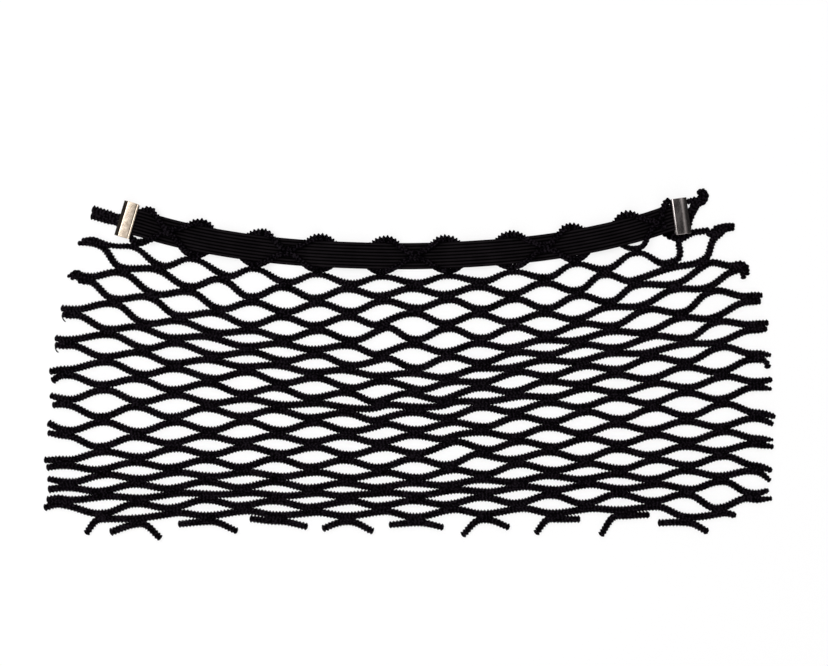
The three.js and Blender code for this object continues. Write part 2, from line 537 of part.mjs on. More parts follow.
function netGeometry() {
  const net = new Solid();
  const joints = {};
  for (let row = 0; row <= LAST_ROW; row += 1) {
    for (let column = row % 2; column <= LAST_COLUMN; column += 2) {
      if (isJoint(row, column)) joints[`${row},${column}`] = addJoint(net, row, column);
    }
  }
  const crossings = CROSSINGS.map((crossing) => ({ crossing, joint: joints[`0,${crossing.column}`] }));
  LOOPS.forEach((loop, i) => addLoop(net, crossings[i], crossings[i + 1], loop));
  addLeftClipCords(net, joints);
  addRightClipCords(net, joints);

  // Row 0 down to row 1: under the band from a low joint, over it from a raised one.
  for (const { crossing, joint } of crossings) {
    const height = crossing.raised ? overBand : underBand;
    const left = joints[`1,${crossing.column - 1}`];
    const right = joints[`1,${crossing.column + 1}`];
    const leftMiddle = middleStation(left, joint);
    const rightMiddle = middleStation(joint, right);
    addCord(net, left.sides.upRight, [{ ...leftMiddle, ...height(leftMiddle) }], joint.sides.downLeft);
    addCord(net, joint.sides.downRight, [{ ...rightMiddle, ...height(rightMiddle) }], right.sides.upLeft);
  }

  // All the plain cords below.
  for (let row = 1; row < LAST_ROW; row += 1) {
    for (let column = row % 2; column <= LAST_COLUMN; column += 2) {
      const upper = joints[`${row},${column}`];
      const lowerLeft = joints[`${row + 1},${column - 1}`];
      const lowerRight = joints[`${row + 1},${column + 1}`];
      if (lowerLeft) {
        addCord(net, lowerLeft.sides.upRight, [middleStation(lowerLeft, upper)], upper.sides.downLeft);
      }
      if (lowerRight) {
        const besideStandingCord = row === 1 && column === LAST_COLUMN - 1;
        const station = besideStandingCord
          ? { ...middleStation(upper, lowerRight), ...besideClip(CLIP_RIGHT, 5.4, -15.0, 12), width: CORD.waist }
          : middleStation(upper, lowerRight);
        addCord(net, upper.sides.downRight, [station], lowerRight.sides.upLeft);
      }
    }
  }

  // The cut ends on the left, right and bottom edges.
  for (const { row, column, first, second } of CUT_ENDS) {
    const joint = joints[`${row},${column}`];
    const onRight = column === LAST_COLUMN;
    const atBottom = row === LAST_ROW;
    addCutEnd(net, joint, atBottom ? "downLeft" : onRight ? "downRight" : "upLeft", first);
    addCutEnd(net, joint, atBottom ? "downRight" : onRight ? "upRight" : "downLeft", second);
  }
  addCutEnd(net, joints["21,1"], "downLeft", [-8.0, -9.6, 3.4]);
  addCutEnd(net, joints["21,19"], "downRight", [8.3, -2.6, 3.2]);
  addCutEnd(net, joints["0,20"], "upRight", [-2.0, 4.9, 4.4]);
  net.face(...joints["0,20"].sides.downRight);
  return net.geometry();
}

// ---------------------------------------------------------------- the band and the clips

function bandGeometry() {
  const band = new Solid();
  const reach = CLIP.width / 2 - 0.6; // the band stops just inside each clip's outer mouth
  const leftEnd = besideClip(CLIP_LEFT, -reach, 0);
  const rightEnd = besideClip(CLIP_RIGHT, reach, 0);
  const leftMouth = besideClip(CLIP_LEFT, CLIP.width / 2, 0);
  const rightMouth = besideClip(CLIP_RIGHT, -CLIP.width / 2, 0);
  const stops = [leftMouth.x + 3, ...CROSSINGS.map((crossing) => crossing.x), rightMouth.x - 3];
  const free = [];
  for (let i = 0; i < stops.length - 1; i += 1) {
    for (let k = 0; k < BAND.stepsPerCrossing; k += 1) {
      free.push(besideBand(THREE.MathUtils.lerp(stops[i], stops[i + 1], k / BAND.stepsPerCrossing), 0));
    }
  }
  free.push(besideBand(stops.at(-1), 0));
  const sections = [leftEnd, leftMouth, ...free, rightMouth, rightEnd].map((place) => {
    const low = bandUnderside(place.x);
    return band.section({ ...place, width: BAND.width, low, high: low + BAND.thickness });
  });
  band.run(sections);
  band.face(...facing(sections[0]));
  band.face(...sections.at(-1));
  return band.geometry();
}

// A clip is a strip of sheet metal folded into a flat sleeve, open at both mouths.
function clipOutline(Outline, length, height, radius, base) {
  const half = length / 2;
  const outline = new Outline();
  outline.moveTo(-half + radius, base);
  outline.lineTo(half - radius, base);
  outline.absarc(half - radius, base + radius, radius, -Math.PI / 2, 0, false);
  outline.lineTo(half, base + height - radius);
  outline.absarc(half - radius, base + height - radius, radius, 0, Math.PI / 2, false);
  outline.lineTo(-half + radius, base + height);
  outline.absarc(-half + radius, base + height - radius, radius, Math.PI / 2, Math.PI, false);
  outline.lineTo(-half, base + radius);
  outline.absarc(-half + radius, base + radius, radius, Math.PI, Math.PI * 1.5, false);
  return outline;
}

function clipMesh(name, place, material) {
  const { width, length, height, wall, foldRadius } = CLIP;
  const sleeve = clipOutline(THREE.Shape, length, height, foldRadius, 0);
  const inside = clipOutline(THREE.Path, length - 2 * wall, height - 2 * wall, foldRadius - wall, wall);
  sleeve.holes.push(inside);
  const geometry = new THREE.ExtrudeGeometry(sleeve, { depth: width, bevelEnabled: false, curveSegments: 5 });
  geometry.translate(0, 0, -width / 2);
  const mesh = new THREE.Mesh(geometry, material);
  mesh.name = name;
  const angle = THREE.MathUtils.degToRad(place.angle);
  const across = new THREE.Vector3(-Math.sin(angle), Math.cos(angle), 0);
  const up = new THREE.Vector3(0, 0, 1);
  const along = new THREE.Vector3(Math.cos(angle), Math.sin(angle), 0);
  mesh.quaternion.setFromRotationMatrix(new THREE.Matrix4().makeBasis(across, up, along));
  mesh.position.set(place.x, place.y, place.lift);
  return mesh;
}

// ---------------------------------------------------------------- the whole pocket

const cordBlack = new THREE.MeshStandardMaterial({ color: 0x17161a, roughness: 0.9, metalness: 0 });
const elasticBlack = new THREE.MeshStandardMaterial({ color: 0x1b1a1d, roughness: 0.75, metalness: 0 });
const nickel = new THREE.MeshStandardMaterial({ color: 0xb9a994, roughness: 0.35, metalness: 1 });

function namedMesh(name, geometry, material) {
  const mesh = new THREE.Mesh(geometry, material);
  mesh.name = name;
  return mesh;
}

const pocket = new THREE.Group();
pocket.add(namedMesh("net", netGeometry(), cordBlack));
pocket.add(namedMesh("elastic_band", bandGeometry(), elasticBlack));
pocket.add(clipMesh("clip_left", CLIP_LEFT, nickel));
pocket.add(clipMesh("clip_right", CLIP_RIGHT, nickel));

export default pocket;
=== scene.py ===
import math

import bpy
import numpy as np
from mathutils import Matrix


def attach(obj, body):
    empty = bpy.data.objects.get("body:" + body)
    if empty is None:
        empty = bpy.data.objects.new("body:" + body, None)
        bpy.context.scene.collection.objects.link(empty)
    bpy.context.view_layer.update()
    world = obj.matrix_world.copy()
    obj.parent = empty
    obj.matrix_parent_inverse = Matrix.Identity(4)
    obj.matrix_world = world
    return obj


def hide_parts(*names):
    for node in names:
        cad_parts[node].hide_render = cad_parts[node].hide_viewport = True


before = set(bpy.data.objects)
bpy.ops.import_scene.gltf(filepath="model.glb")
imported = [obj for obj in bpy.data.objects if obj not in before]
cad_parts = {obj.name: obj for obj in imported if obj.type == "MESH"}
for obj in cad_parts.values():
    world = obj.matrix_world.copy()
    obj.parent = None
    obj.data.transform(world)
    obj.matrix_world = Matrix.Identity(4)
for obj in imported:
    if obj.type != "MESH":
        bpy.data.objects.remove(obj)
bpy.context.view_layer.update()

# Seat back mesh pocket laid out flat: a knotless net of black cord, a ribbed elastic woven through its top
# row of joints, and a folded metal clip on each end of the elastic. Everything is in metres: X runs along
# the elastic, Y from the cut bottom of the net up to the elastic, and the net lies on z = 0.

# The camera looks straight down on the middle of the view, from as high as the width that it sees needs.
view = {"lens": 85, "sensor": 36, "width": 0.4554, "x": 0.00275, "y": 0.0176}


def addObject(name, data):
    made = bpy.data.objects.new(name, data)
    bpy.context.scene.collection.objects.link(made)
    return made


def addCamera(values):
    data = bpy.data.cameras.new("camera")
    data.lens = values["lens"]
    data.sensor_width = values["sensor"]
    camera = addObject("camera", data)
    height = values["width"] * values["lens"] / values["sensor"]
    camera.location = (values["x"], values["y"], height)
    bpy.context.scene.camera = camera


addCamera(view)
print("camera placed")

# Where the net's joints stand: in staggered rows, row 0 on the elastic and row 22 at the bottom, with a
# joint where row and column add to an even number. Each line of rows gives Y at the named columns, each line
# of columns gives X at the named columns of that row, and a pulled joint is moved off that lattice.
lattice = {
    "lastRow": 22,
    "lastColumn": 20,
    "turnOdd": 5,  # in degrees, how far a joint in an odd column is turned from the way its cords lead
    "turnEven": -4.5,
    "turned": {  # and a few joints by some more
        (2, 0): 8.5, (2, 4): -6, (2, 20): 8.5, (3, 15): -4, (4, 0): 10, (5, 9): 14, (6, 0): 10, (7, 9): 9,
        (8, 0): 10, (10, 0): 8, (10, 10): -8.5, (11, 9): 12, (11, 11): 9, (13, 9): 9, (15, 11): 10,
        (16, 12): -8.5, (20, 8): 9,
    },
    "rowsAt": (1, 5, 10, 15, 19),
    "rows": [
        (2, 0.0611, 0.0464, 0.0435, 0.0488, 0.0644),
        (3, 0.0518, 0.0364, 0.0371, 0.0399, 0.0567),
        (4, 0.0435, 0.0286, 0.0305, 0.0315, 0.0490),
        (5, 0.0350, 0.0202, 0.0220, 0.0244, 0.0418),
        (6, 0.0262, 0.0149, 0.0129, 0.0180, 0.0321),
        (7, 0.0182, 0.0087, 0.0052, 0.0129, 0.0242),
        (8, 0.0105, 0.0031, -0.0025, 0.0067, 0.0172),
        (9, 0.0031, -0.0025, -0.0076, 0.0010, 0.0112),
        (10, -0.0053, -0.0098, -0.0141, -0.0055, 0.0028),
        (11, -0.0123, -0.0172, -0.0211, -0.0116, -0.0051),
        (12, -0.0207, -0.0228, -0.0242, -0.0178, -0.0121),
        (13, -0.0299, -0.0292, -0.0305, -0.0242, -0.0198),
        (14, -0.0372, -0.0374, -0.0365, -0.0317, -0.0283),
        (15, -0.0463, -0.0435, -0.0421, -0.0393, -0.0345),
        (16, -0.0530, -0.0502, -0.0500, -0.0451, -0.0427),
        (17, -0.0589, -0.0575, -0.0572, -0.0526, -0.0483),
        (18, -0.0645, -0.0627, -0.0634, -0.0584, -0.0563),
        (19, -0.0708, -0.0688, -0.0680, -0.0638, -0.0615),
        (20, -0.0747, -0.0729, -0.0733, -0.0699, -0.0700),
        (21, -0.0828, -0.0778, -0.0782, -0.0772, -0.0800),
        (22, -0.0864, -0.0842, -0.0845, -0.0817, -0.0840),
    ],
    "columnsAt": (0, 1, 5, 10, 15, 19, 20),
    "columns": [
        (1, -0.1700, -0.1511, -0.0850, 0.0030, 0.0911, 0.1510, 0.1660),
        (3, -0.1760, -0.1580, -0.0864, 0.0030, 0.0926, 0.1610, 0.1760),
        (6, -0.1854, -0.1635, -0.0876, 0.0030, 0.0932, 0.1660, 0.1875),
        (10, -0.1895, -0.1675, -0.0900, 0.0030, 0.0950, 0.1710, 0.1905),
        (14, -0.1890, -0.1690, -0.0908, 0.0033, 0.0961, 0.1718, 0.1920),
        (21, -0.1910, -0.1686, -0.0913, 0.0038, 0.0975, 0.1710, 0.1893),
    ],
    "pulledX": {  # row: by column, how far
        2: {0: 0.0016, 4: 0.0014, 16: -0.0013, 18: 0.0023, 20: -0.0025},
        3: {1: 0.0005, 3: 0.0011, 17: -0.0030, 19: 0.0011},
        4: {0: 0.0013, 2: 0.0003, 4: 0.0003, 10: 0.0004, 16: -0.0006},
        5: {3: -0.0021},
        6: {2: -0.0023, 4: -0.0024, 8: 0.0005, 18: 0.0022},
        7: {3: -0.0029, 17: 0.0018},
        8: {18: 0.0025},
        9: {3: -0.0018, 11: 0.0005},
        10: {8: 0.0007, 10: 0.0004, 16: -0.0003},
        11: {9: -0.0003},
        12: {8: 0.0005},
        13: {9: -0.0005},
        14: {8: 0.0003},
        17: {13: -0.0006},
        18: {0: 0.0024},
        20: {20: -0.0010},
        21: {17: 0.0002},
        22: {12: -0.0004, 16: -0.0003},
    },
    "pulledY": {
        2: {
            0: 0.0022, 2: -0.0036, 4: -0.0011, 6: -0.0007, 8: -0.0002, 14: -0.0003, 16: -0.0007,
            18: -0.0055, 20: 0.0041,
        },
        3: {1: 0.0002, 3: -0.0013, 5: -0.0004, 15: -0.0004, 17: -0.0022, 19: -0.0004},
        4: {
            0: 0.0004, 2: -0.0012, 4: -0.0014, 8: -0.0010, 10: -0.0007, 12: -0.0008, 14: -0.0004,
            16: -0.0012, 18: -0.0012,
        },
        5: {3: -0.0008, 5: 0.0002, 7: 0.0007, 11: -0.0007, 15: -0.0005, 17: -0.0006, 19: -0.0004},
        6: {
            2: -0.0012, 4: -0.0003, 6: -0.0006, 8: -0.0005, 10: -0.0003, 12: -0.0006, 14: -0.0008,
            16: -0.0008, 18: -0.0009, 20: 0.0007,
        },
        7: {
            3: 0.0004, 7: 0.0007, 9: -0.0003, 11: -0.0002, 13: -0.0007, 15: -0.0006, 17: -0.0013,
            19: 0.0004,
        },
        8: {
            2: -0.0006, 4: -0.0006, 6: -0.0005, 10: -0.0006, 12: -0.0002, 14: -0.0002, 16: -0.0011,
            18: -0.0013, 20: 0.0010,
        },
        9: {3: -0.0008, 7: -0.0003, 11: -0.0012, 13: 0.0007, 15: -0.0004, 17: -0.0005, 19: -0.0002},
        10: {6: -0.0003, 8: -0.0005, 10: -0.0005, 12: 0.0007, 16: -0.0003, 18: -0.0004, 20: -0.0003},
        11: {3: -0.0002, 11: 0.0003, 17: -0.0006},
        12: {2: -0.0003, 8: -0.0008, 10: -0.0004, 12: 0.0005, 16: -0.0002, 18: -0.0003},
        13: {
            3: -0.0006, 5: -0.0004, 7: -0.0004, 9: -0.0008, 11: -0.0005, 15: -0.0003, 17: -0.0004,
            19: -0.0003,
        },
        14: {2: -0.0008, 8: -0.0006, 10: -0.0006, 12: -0.0006, 16: -0.0003, 18: -0.0003, 20: -0.0006},
        15: {3: 0.0004, 7: -0.0009, 9: -0.0016, 11: 0.0003, 15: 0.0004, 19: -0.0008},
        16: {2: 0.0002, 8: -0.0006, 12: 0.0006, 14: -0.0003, 16: -0.0004},
        17: {3: 0.0004, 9: -0.0002, 11: 0.0003, 13: 0.0015, 15: -0.0003, 17: -0.0003, 19: -0.0004},
        18: {0: -0.0009, 4: 0.0003, 12: 0.0002, 16: -0.0008, 18: 0.0002, 20: -0.0013},
        19: {3: 0.0005, 7: -0.0005, 9: -0.0004, 15: -0.0004, 17: -0.0016, 19: -0.0010},
        20: {
            2: -0.0005, 4: 0.0006, 6: -0.0004, 10: 0.0002, 12: 0.0008, 14: 0.0004, 16: 0.0002, 18: 0.0002,
            20: -0.0020,
        },
        21: {1: -0.0003, 5: -0.0009, 7: -0.0019, 9: -0.0008, 15: -0.0003, 17: 0.0021},
        22: {4: 0.0002, 10: -0.0005, 14: -0.0010, 16: 0.0007, 18: -0.0017},
    },
}

# Row 0, where the elastic crosses the net's joints: it runs under the raised ones and over the others.
crossings = [  # column, X, raised
    (2, -0.1326, True),
    (4, -0.1012, False),
    (6, -0.0671, True),
    (8, -0.0314, False),
    (10, 0.0033, True),
    (12, 0.0380, False),
    (14, 0.0748, True),
    (16, 0.1067, False),
    (18, 0.1364, True),
]

# Between the crossings: X of the loop above the elastic, and the row 1 joint below it with its drop from
# the elastic's centre line.
loops = [  # column, X of the loop, X of the joint, drop
    (3, -0.1146, -0.1164, 0.01035),
    (5, -0.0809, -0.0834, 0.01015),
    (7, -0.0484, -0.0496, 0.01005),
    (9, -0.0126, -0.0149, 0.01005),
    (11, 0.0202, 0.0210, 0.01005),
    (13, 0.0564, 0.0561, 0.01015),
    (15, 0.0895, 0.0895, 0.01035),
    (17, 0.1206, 0.1217, 0.01155),
]

# The joints at the clips: where they lie from a clip's middle, along the elastic that goes through it and
# across it, and their direction in degrees.
clipJoints = {  # (row, column): clip, along, across, direction
    (0, 0): ("left", -0.0124, -0.0016, -17),
    (0, 20): ("right", 0.0133, 0.0086, 68),
    (1, 1): ("left", 0.0079, -0.0118, -20),
    (1, 19): ("right", -0.0020, -0.0115, 33),
}

# Cut ends: where a joint's two cord ends lie, from the joint's middle, and how wide they are. On the left
# edge the upper end is named first, on the right edge the lower one, and at the bottom the left one.
cutEnds = {  # (row, column): first end, second end
    (0, 0): ((-0.0072, 0.0040, 0.0041), (-0.0078, 0.0006, 0.0041)),
    (2, 0): ((-0.0086, 0.0016, 0.0026), (-0.0107, -0.0001, 0.0026)),
    (4, 0): ((-0.0097, 0.0008, 0.0018), (-0.0079, -0.0004, 0.0020)),
    (6, 0): ((-0.0060, 0.0023, 0.0033), (-0.0053, -0.0010, 0.0032)),
    (8, 0): ((-0.0065, 0.0026, 0.0032), (-0.0065, -0.0013, 0.0034)),
    (10, 0): ((-0.0082, 0.0004, 0.0036), (-0.0068, -0.0048, 0.0038)),
    (12, 0): ((-0.0080, 0.0035, 0.0032), (-0.0067, -0.0020, 0.0034)),
    (14, 0): ((-0.0096, 0.0055, 0.0038), (-0.0097, 0.0000, 0.0032)),
    (16, 0): ((-0.0112, 0.0014, 0.0034), (-0.0099, -0.0027, 0.0036)),
    (18, 0): ((-0.0111, 0.0034, 0.0032), (-0.0108, -0.0025, 0.0040)),
    (20, 0): ((-0.0085, 0.0010, 0.0036), (-0.0100, -0.0034, 0.0036)),
    (0, 20): ((-0.0024, 0.0041, 0.0036), (-0.0006, 0.0045, 0.0034)),
    (2, 20): ((0.0101, 0.0028, 0.0028), (0.0103, 0.0043, 0.0028)),
    (4, 20): ((0.0036, -0.0062, 0.0028), (0.0054, -0.0042, 0.0028)),
    (6, 20): ((0.0058, -0.0013, 0.0034), (0.0067, 0.0020, 0.0032)),
    (8, 20): ((0.0071, -0.0008, 0.0032), (0.0078, 0.0024, 0.0032)),
    (10, 20): ((0.0069, -0.0065, 0.0034), (0.0084, 0.0008, 0.0024)),
    (12, 20): ((0.0077, -0.0027, 0.0018), (0.0080, 0.0029, 0.0030)),
    (14, 20): ((0.0081, -0.0046, 0.0030), (0.0093, -0.0005, 0.0030)),
    (16, 20): ((0.0088, -0.0029, 0.0026), (0.0086, 0.0010, 0.0018)),
    (18, 20): ((0.0078, -0.0067, 0.0026), (0.0088, -0.0010, 0.0030)),
    (20, 20): ((0.0107, -0.0013, 0.0024), (0.0089, 0.0034, 0.0028)),
    (22, 2): ((-0.0156, -0.0062, 0.0040), (0.0125, -0.0096, 0.0036)),
    (22, 4): ((-0.0165, -0.0031, 0.0036), (0.0163, -0.0071, 0.0034)),
    (22, 6): ((-0.0154, -0.0002, 0.0036), (0.0166, -0.0048, 0.0036)),
    (22, 8): ((-0.0137, -0.0056, 0.0036), (0.0145, -0.0071, 0.0036)),
    (22, 10): ((-0.0150, -0.0029, 0.0034), (0.0152, -0.0043, 0.0034)),
    (22, 12): ((-0.0121, -0.0105, 0.0034), (0.0140, -0.0060, 0.0034)),
    (22, 14): ((-0.0097, -0.0098, 0.0034), (0.0150, -0.0017, 0.0036)),
    (22, 16): ((-0.0107, -0.0126, 0.0034), (0.0164, -0.0010, 0.0034)),
    (22, 18): ((-0.0160, -0.0018, 0.0036), (0.0117, -0.0068, 0.0036)),
    (21, 1): ((-0.0091, -0.0097, 0.0034), None),
    (21, 19): ((0.0087, -0.0027, 0.0034), None),
}

# Ends that bend on the way: a point between the joint and the end, and the width there.
bentEnds = {  # (row, column, which end)
    (4, 0, 0): (-0.0040, 0.0030, 0.0034),
    (4, 0, 1): (-0.0045, 0.0009, 0.0034),
    (2, 20, 0): (0.0048, 0.0016, 0.0029),
    (2, 20, 1): (0.0040, 0.0040, 0.0029),
    (4, 20, 0): (0.0026, -0.0024, 0.0030),
    (4, 20, 1): (0.0042, 0.0012, 0.0030),
    (10, 20, 0): (0.0053, -0.0025, 0.0030),
}

smoothEnds = ((0, 20), (2, 0), (2, 20), (4, 0))  # their stitches hardly stand out
endPaintedLight = 0.2  # painted light in the middle of a closed end, low so mostly painted shade

# Single yarns drawn out of two frayed ends on the left edge: from the joint's middle, bend by bend.
looseYarns = [  # row, column, then X and Y of each bend
    (6, 0, (-0.0055, -0.0016), (-0.0050, -0.0032), (-0.0042, -0.0046), (-0.0034, -0.0052)),
    (8, 0, (-0.0064, -0.0024), (-0.0060, -0.0038), (-0.0053, -0.0049), (-0.0045, -0.0053)),
]

# Beside the clips some strands are led on their way to the next joint.
guides = {  # (strand, column it leaves): X, Y, width and over of each point
    (1, 0): ((-0.1648, 0.0659, 0.0030, 0), (-0.1600, 0.0653, 0.0029, 0)),
    (0, 1): ((-0.1453, 0.0680, 0.0042, 0), (-0.1421, 0.0687, 0.0034, 1)),
    (0, 18): ((0.1410, 0.0726, 0.0040, 0), (0.1440, 0.0716, 0.0060, 0)),
    (1, 18): ((0.1474, 0.0580, 0.0037, 0), (0.1488, 0.0608, 0.0037, 0), (0.1486, 0.0645, 0.0037, 0)),
    (1, 19): (
        (0.1531, 0.0711, 0.0033, 0), (0.1564, 0.0728, 0.0036, 0), (0.1603, 0.0733, 0.0036, 0),
        (0.1642, 0.0735, 0.0036, 0),
    ),
}

elastic = {
    "width": 0.0145,
    "core": 0.00078,  # thickness in the grooves
    "rib": 0.00021,  # how far a rib stands out of the groove on each face
    "ribs": 8,
    "thickness": 0.0012,
    "lift": 0.0035,  # underside over a low joint
    "clipLift": 0.0024,  # underside inside the clips
    "step": 0.0009,
    "pointsOnTop": 6,  # for each rib
    "pointsBelow": 4,
    "ribPower": 0.6,
    "edgePower": 24,
    "inClip": 0.0020,  # how far past a clip's middle the end lies
    "bendLength": 0.004,  # how far from a clip's mouth the centre line follows the sag
    "sagKnots": 34,
    "sagX": -0.0065,  # the centre line is lowest here, and rises by the square and the fourth power
    "sagY": 0.0598,
    "square": 0.66,
    "fourth": 12.0,
}

# "lift" is how high a clip stands, "lipSide" the way along X to the mouth that the elastic goes in, "lip"
# how wide the lip is there, and "crown" how much higher the middle is than the mouths. "flange" is how wide
# the turned-down edge of the other mouth is, "flangeDrop" how far down it goes, and "flangeCurve" is 1 for a
# straight fold and more for a rounded one.
clips = {
    "left": {
        "x": -0.1547, "y": 0.0797, "angle": -16.7, "lift": 0, "lipSide": 1, "lip": 0.0007,
        "crown": 0.0001, "flange": 0.0023, "flangeDrop": 0.00125, "flangeCurve": 1,
    },
    "right": {
        "x": 0.1491, "y": 0.0816, "angle": 7.9, "lift": 0.001, "lipSide": -1, "lip": 0.0002,
        "crown": 0.00006, "flange": 0.0057, "flangeDrop": 0.0011, "flangeCurve": 2,
    },
}
clipMouth = 0.0042  # from a clip's middle to either mouth

cord = {
    "width": 0.0040,
    "height": 0.0024,
    "waist": 0.0031,  # width where it crosses the elastic
    "stitch": 0.0019,
    "rings": 5,  # for each stitch
    "lean": 0.42,  # how far a stitch's point runs ahead, in stitches
    "notch": 0.24,  # how deep the gap between two stitches is, as a share of the height
    "notchPower": 0.8,
    "pinch": 0.06,  # the same across the cord
    "teeth": 0.0008,  # how far the edge stitches stand out
    "toothPower": 1.4,
    "edgePower": 6,  # so that only the edge of the section moves
    "upperTeeth": 1.0,
    "lowerTeeth": 0.8,
    "uneven": 0.3,  # how much one tooth differs from the next
    "jointReach": 0.0018,  # half the length that two cords share at a joint
    "edgeReach": 0.0028,  # the same on the left and right edges, towards the net
    "jointOffset": 0.00160,  # from a joint's middle to the middle of either cord, but for "offsets"
    "nearOffset": 0.00145,  # the same in the two rows at the elastic
    "nearWidth": 0.0032,
    "nearTeeth": 0.2,  # on the side towards the elastic
    "leadIn": {"low": 0.0008, "high": 0.0032},  # beside a raised joint, where the lower cord starts to rise
    "wider": {3: 0.0008, 5: 0.0003, 7: 0.0002, 15: 0.0006},  # by column, where it closes up to the elastic
    "offsets": {(0, 0): 0.0017, (0, 20): 0.0013, (1, 1): 0.0018, (2, 0): 0.0008, (4, 0): 0.0013},
    "gap": 0.0003,  # between a cord and the elastic
    "climb": 0.0032,  # past the elastic's edge, where a cord is down on the floor again
    "facing": 0.6,  # how much shorter the teeth are between the two cords of a joint
    "endRound": 0.0009,  # a cut end is rounded off over this length, to the next share of its size
    "endSize": 0.5,
    "endTop": 0.9,  # of the height, towards a cut end
    "smooth": 0.4,  # how long the teeth are of an end whose stitches hardly stand out
    "loose": 0.0007,  # thickness of a drawn-out yarn
    "rest": 0.00005,
    "paintedLight": (0.25, 0.75, 0.7),  # painted shade in a notch and painted highlight on a crown: the share in a notch, how much more on a crown, and the power of the height
}


def smoothThrough(stations, values, at):
    # a cubic between neighbouring stations, its slope at each that of the chord from the station before to
    # the one after, and straight on past the ends
    stations, values = np.asarray(stations, float), np.asarray(values, float)
    last = len(stations) - 1
    after = np.minimum(np.arange(last + 1) + 1, last)
    before = np.maximum(np.arange(last + 1) - 1, 0)
    slopes = (values[after] - values[before]) / (stations[after] - stations[before])
    if at <= stations[0]:
        return values[0] + slopes[0] * (at - stations[0])
    if at >= stations[last]:
        return values[last] + slopes[last] * (at - stations[last])
    i = np.searchsorted(stations, at) - 1
    span = stations[i + 1] - stations[i]
    t = (at - stations[i]) / span
    rise = 3 * t**2 - 2 * t**3
    bend = span * t * (1 - t) * ((1 - t) * slopes[i] - t * slopes[i + 1])
    return (1 - rise) * values[i] + rise * values[i + 1] + bend


def latticePlace(row, column):
    # X runs smoothly through the named columns and then the named rows, and Y along its own line of rows
    x = smoothThrough(
        [line[0] for line in lattice["columns"]],
        [smoothThrough(lattice["columnsAt"], line[1:], column) for line in lattice["columns"]],
        row,
    )
    heights = next(line[1:] for line in lattice["rows"] if line[0] == row)
    y = smoothThrough(lattice["rowsAt"], heights, column)
    moveX, moveY = (lattice[pulled].get(row, {}).get(column, 0) for pulled in ("pulledX", "pulledY"))
    return x + moveX, y + moveY


def elasticY(x):
    # the sagging centre line: the lowest Y, and the square and the fourth power of the way from there
    fromSag = x - elastic["sagX"]
    return elastic["sagY"] + elastic["square"] * fromSag**2 + elastic["fourth"] * fromSag**4


def elasticAngle(x):
    # the direction of that line, from its slope
    fromSag = x - elastic["sagX"]
    return np.arctan(2 * elastic["square"] * fromSag + 4 * elastic["fourth"] * fromSag**3)


def fromPoint(x, y, angle, along, across):
    # the point that lies along a direction and across it from another one: a plain rotation
    cos, sin = math.cos(angle), math.sin(angle)
    return x + cos * along - sin * across, y + sin * along + cos * across


def besideElastic(x, offset):
    # a point at a distance to the upper side of the elastic's centre line
    return fromPoint(x, elasticY(x), elasticAngle(x), 0, offset)


def besideClip(clip, along, across):
    # a point in a clip's own frame: along the elastic that goes through it, and across it
    return fromPoint(clip["x"], clip["y"], math.radians(clip["angle"]), along, across)


def foundOnElastic(x, y):
    # the centre line's X of the section that passes through a point, and how far the point lies to the
    # upper side of the line: each round takes a step back along the section
    along = np.array(x, float)
    for _ in range(5):
        angle = elasticAngle(along)
        offset = (y - elasticY(along)) * np.cos(angle) - (x - along) * np.sin(angle)
        along = x + np.sin(angle) * offset
    return along, offset


def elasticUnderside(x):
    # level inside the clips, and a cosine wave between them: down under a raised joint, up over a low one
    stations = [besideClip(clips["left"], clipMouth, 0)[0]]
    heights = [elastic["clipLift"]]
    for _, place, raised in crossings:
        stations.append(place)
        heights.append(0 if raised else elastic["lift"])
    stations.append(besideClip(clips["right"], -clipMouth, 0)[0])
    heights.append(elastic["clipLift"] + clips["right"]["lift"])
    return easedThrough(np.array(stations), np.array(heights), x)


def easedThrough(stations, values, at):
    # half a cosine wave from each station's value to the next one's
    at = np.clip(at, stations[0], stations[-1])
    i = np.clip(np.searchsorted(stations, at) - 1, 0, len(stations) - 2)
    share = (at - stations[i]) / (stations[i + 1] - stations[i])
    rise = (1 - np.cos(np.pi * share)) / 2
    if values.ndim > 1:
        rise = rise[:, None]
    return values[i] + (values[i + 1] - values[i]) * rise


def ease(share):
    # from 0 to 1, level at both ends: three squares less two cubes
    share = np.clip(share, 0, 1)
    return share**2 * (3 - 2 * share)


# The joints: place and direction of each. A joint points along the mean of its cords, taken to run right.
def hasJoint(row, column):
    if (row + column) % 2 or not 0 <= column <= lattice["lastColumn"]:
        return False
    return row < lattice["lastRow"] or 0 < column < lattice["lastColumn"]


def jointPlace(row, column):
    if (row, column) in clipJoints:
        name, along, across, _ = clipJoints[row, column]
        return besideClip(clips[name], along, across)
    if row == 0:
        return besideElastic(next(x for c, x, _ in crossings if c == column), 0)
    if row == 1:
        x, drop = next((jointX, drop) for c, _, jointX, drop in loops if c == column)
        return besideElastic(x, -drop)
    return latticePlace(row, column)


def jointAngle(row, column, places):
    if (row, column) in clipJoints:
        return math.radians(clipJoints[row, column][-1])
    if row == 0:
        return float(elasticAngle(places[row, column][0]))
    x, y = places[row, column]
    sumX, sumY = 0, 0
    for rowStep in (-1, 1):
        for columnStep in (-1, 1):
            near = (row + rowStep, column + columnStep)
            if near in places and near[0] >= 1:
                stepX, stepY = places[near][0] - x, places[near][1] - y
                length = math.hypot(stepX, stepY)
                sumX += stepX / length * columnStep
                sumY += stepY / length * columnStep
    turn = lattice["turnOdd"] if column % 2 else lattice["turnEven"]
    turn += lattice["turned"].get((row, column), 0)
    return math.atan2(sumY, sumX) + math.radians(turn if 1 < row < lattice["lastRow"] else 0)


def placeJoints():
    rows, columns = range(lattice["lastRow"] + 1), range(lattice["lastColumn"] + 1)
    places = {(r, c): jointPlace(r, c) for r in rows for c in columns if hasJoint(r, c)}
    return {key: (*places[key], jointAngle(*key, places)) for key in places}


joints = placeJoints()

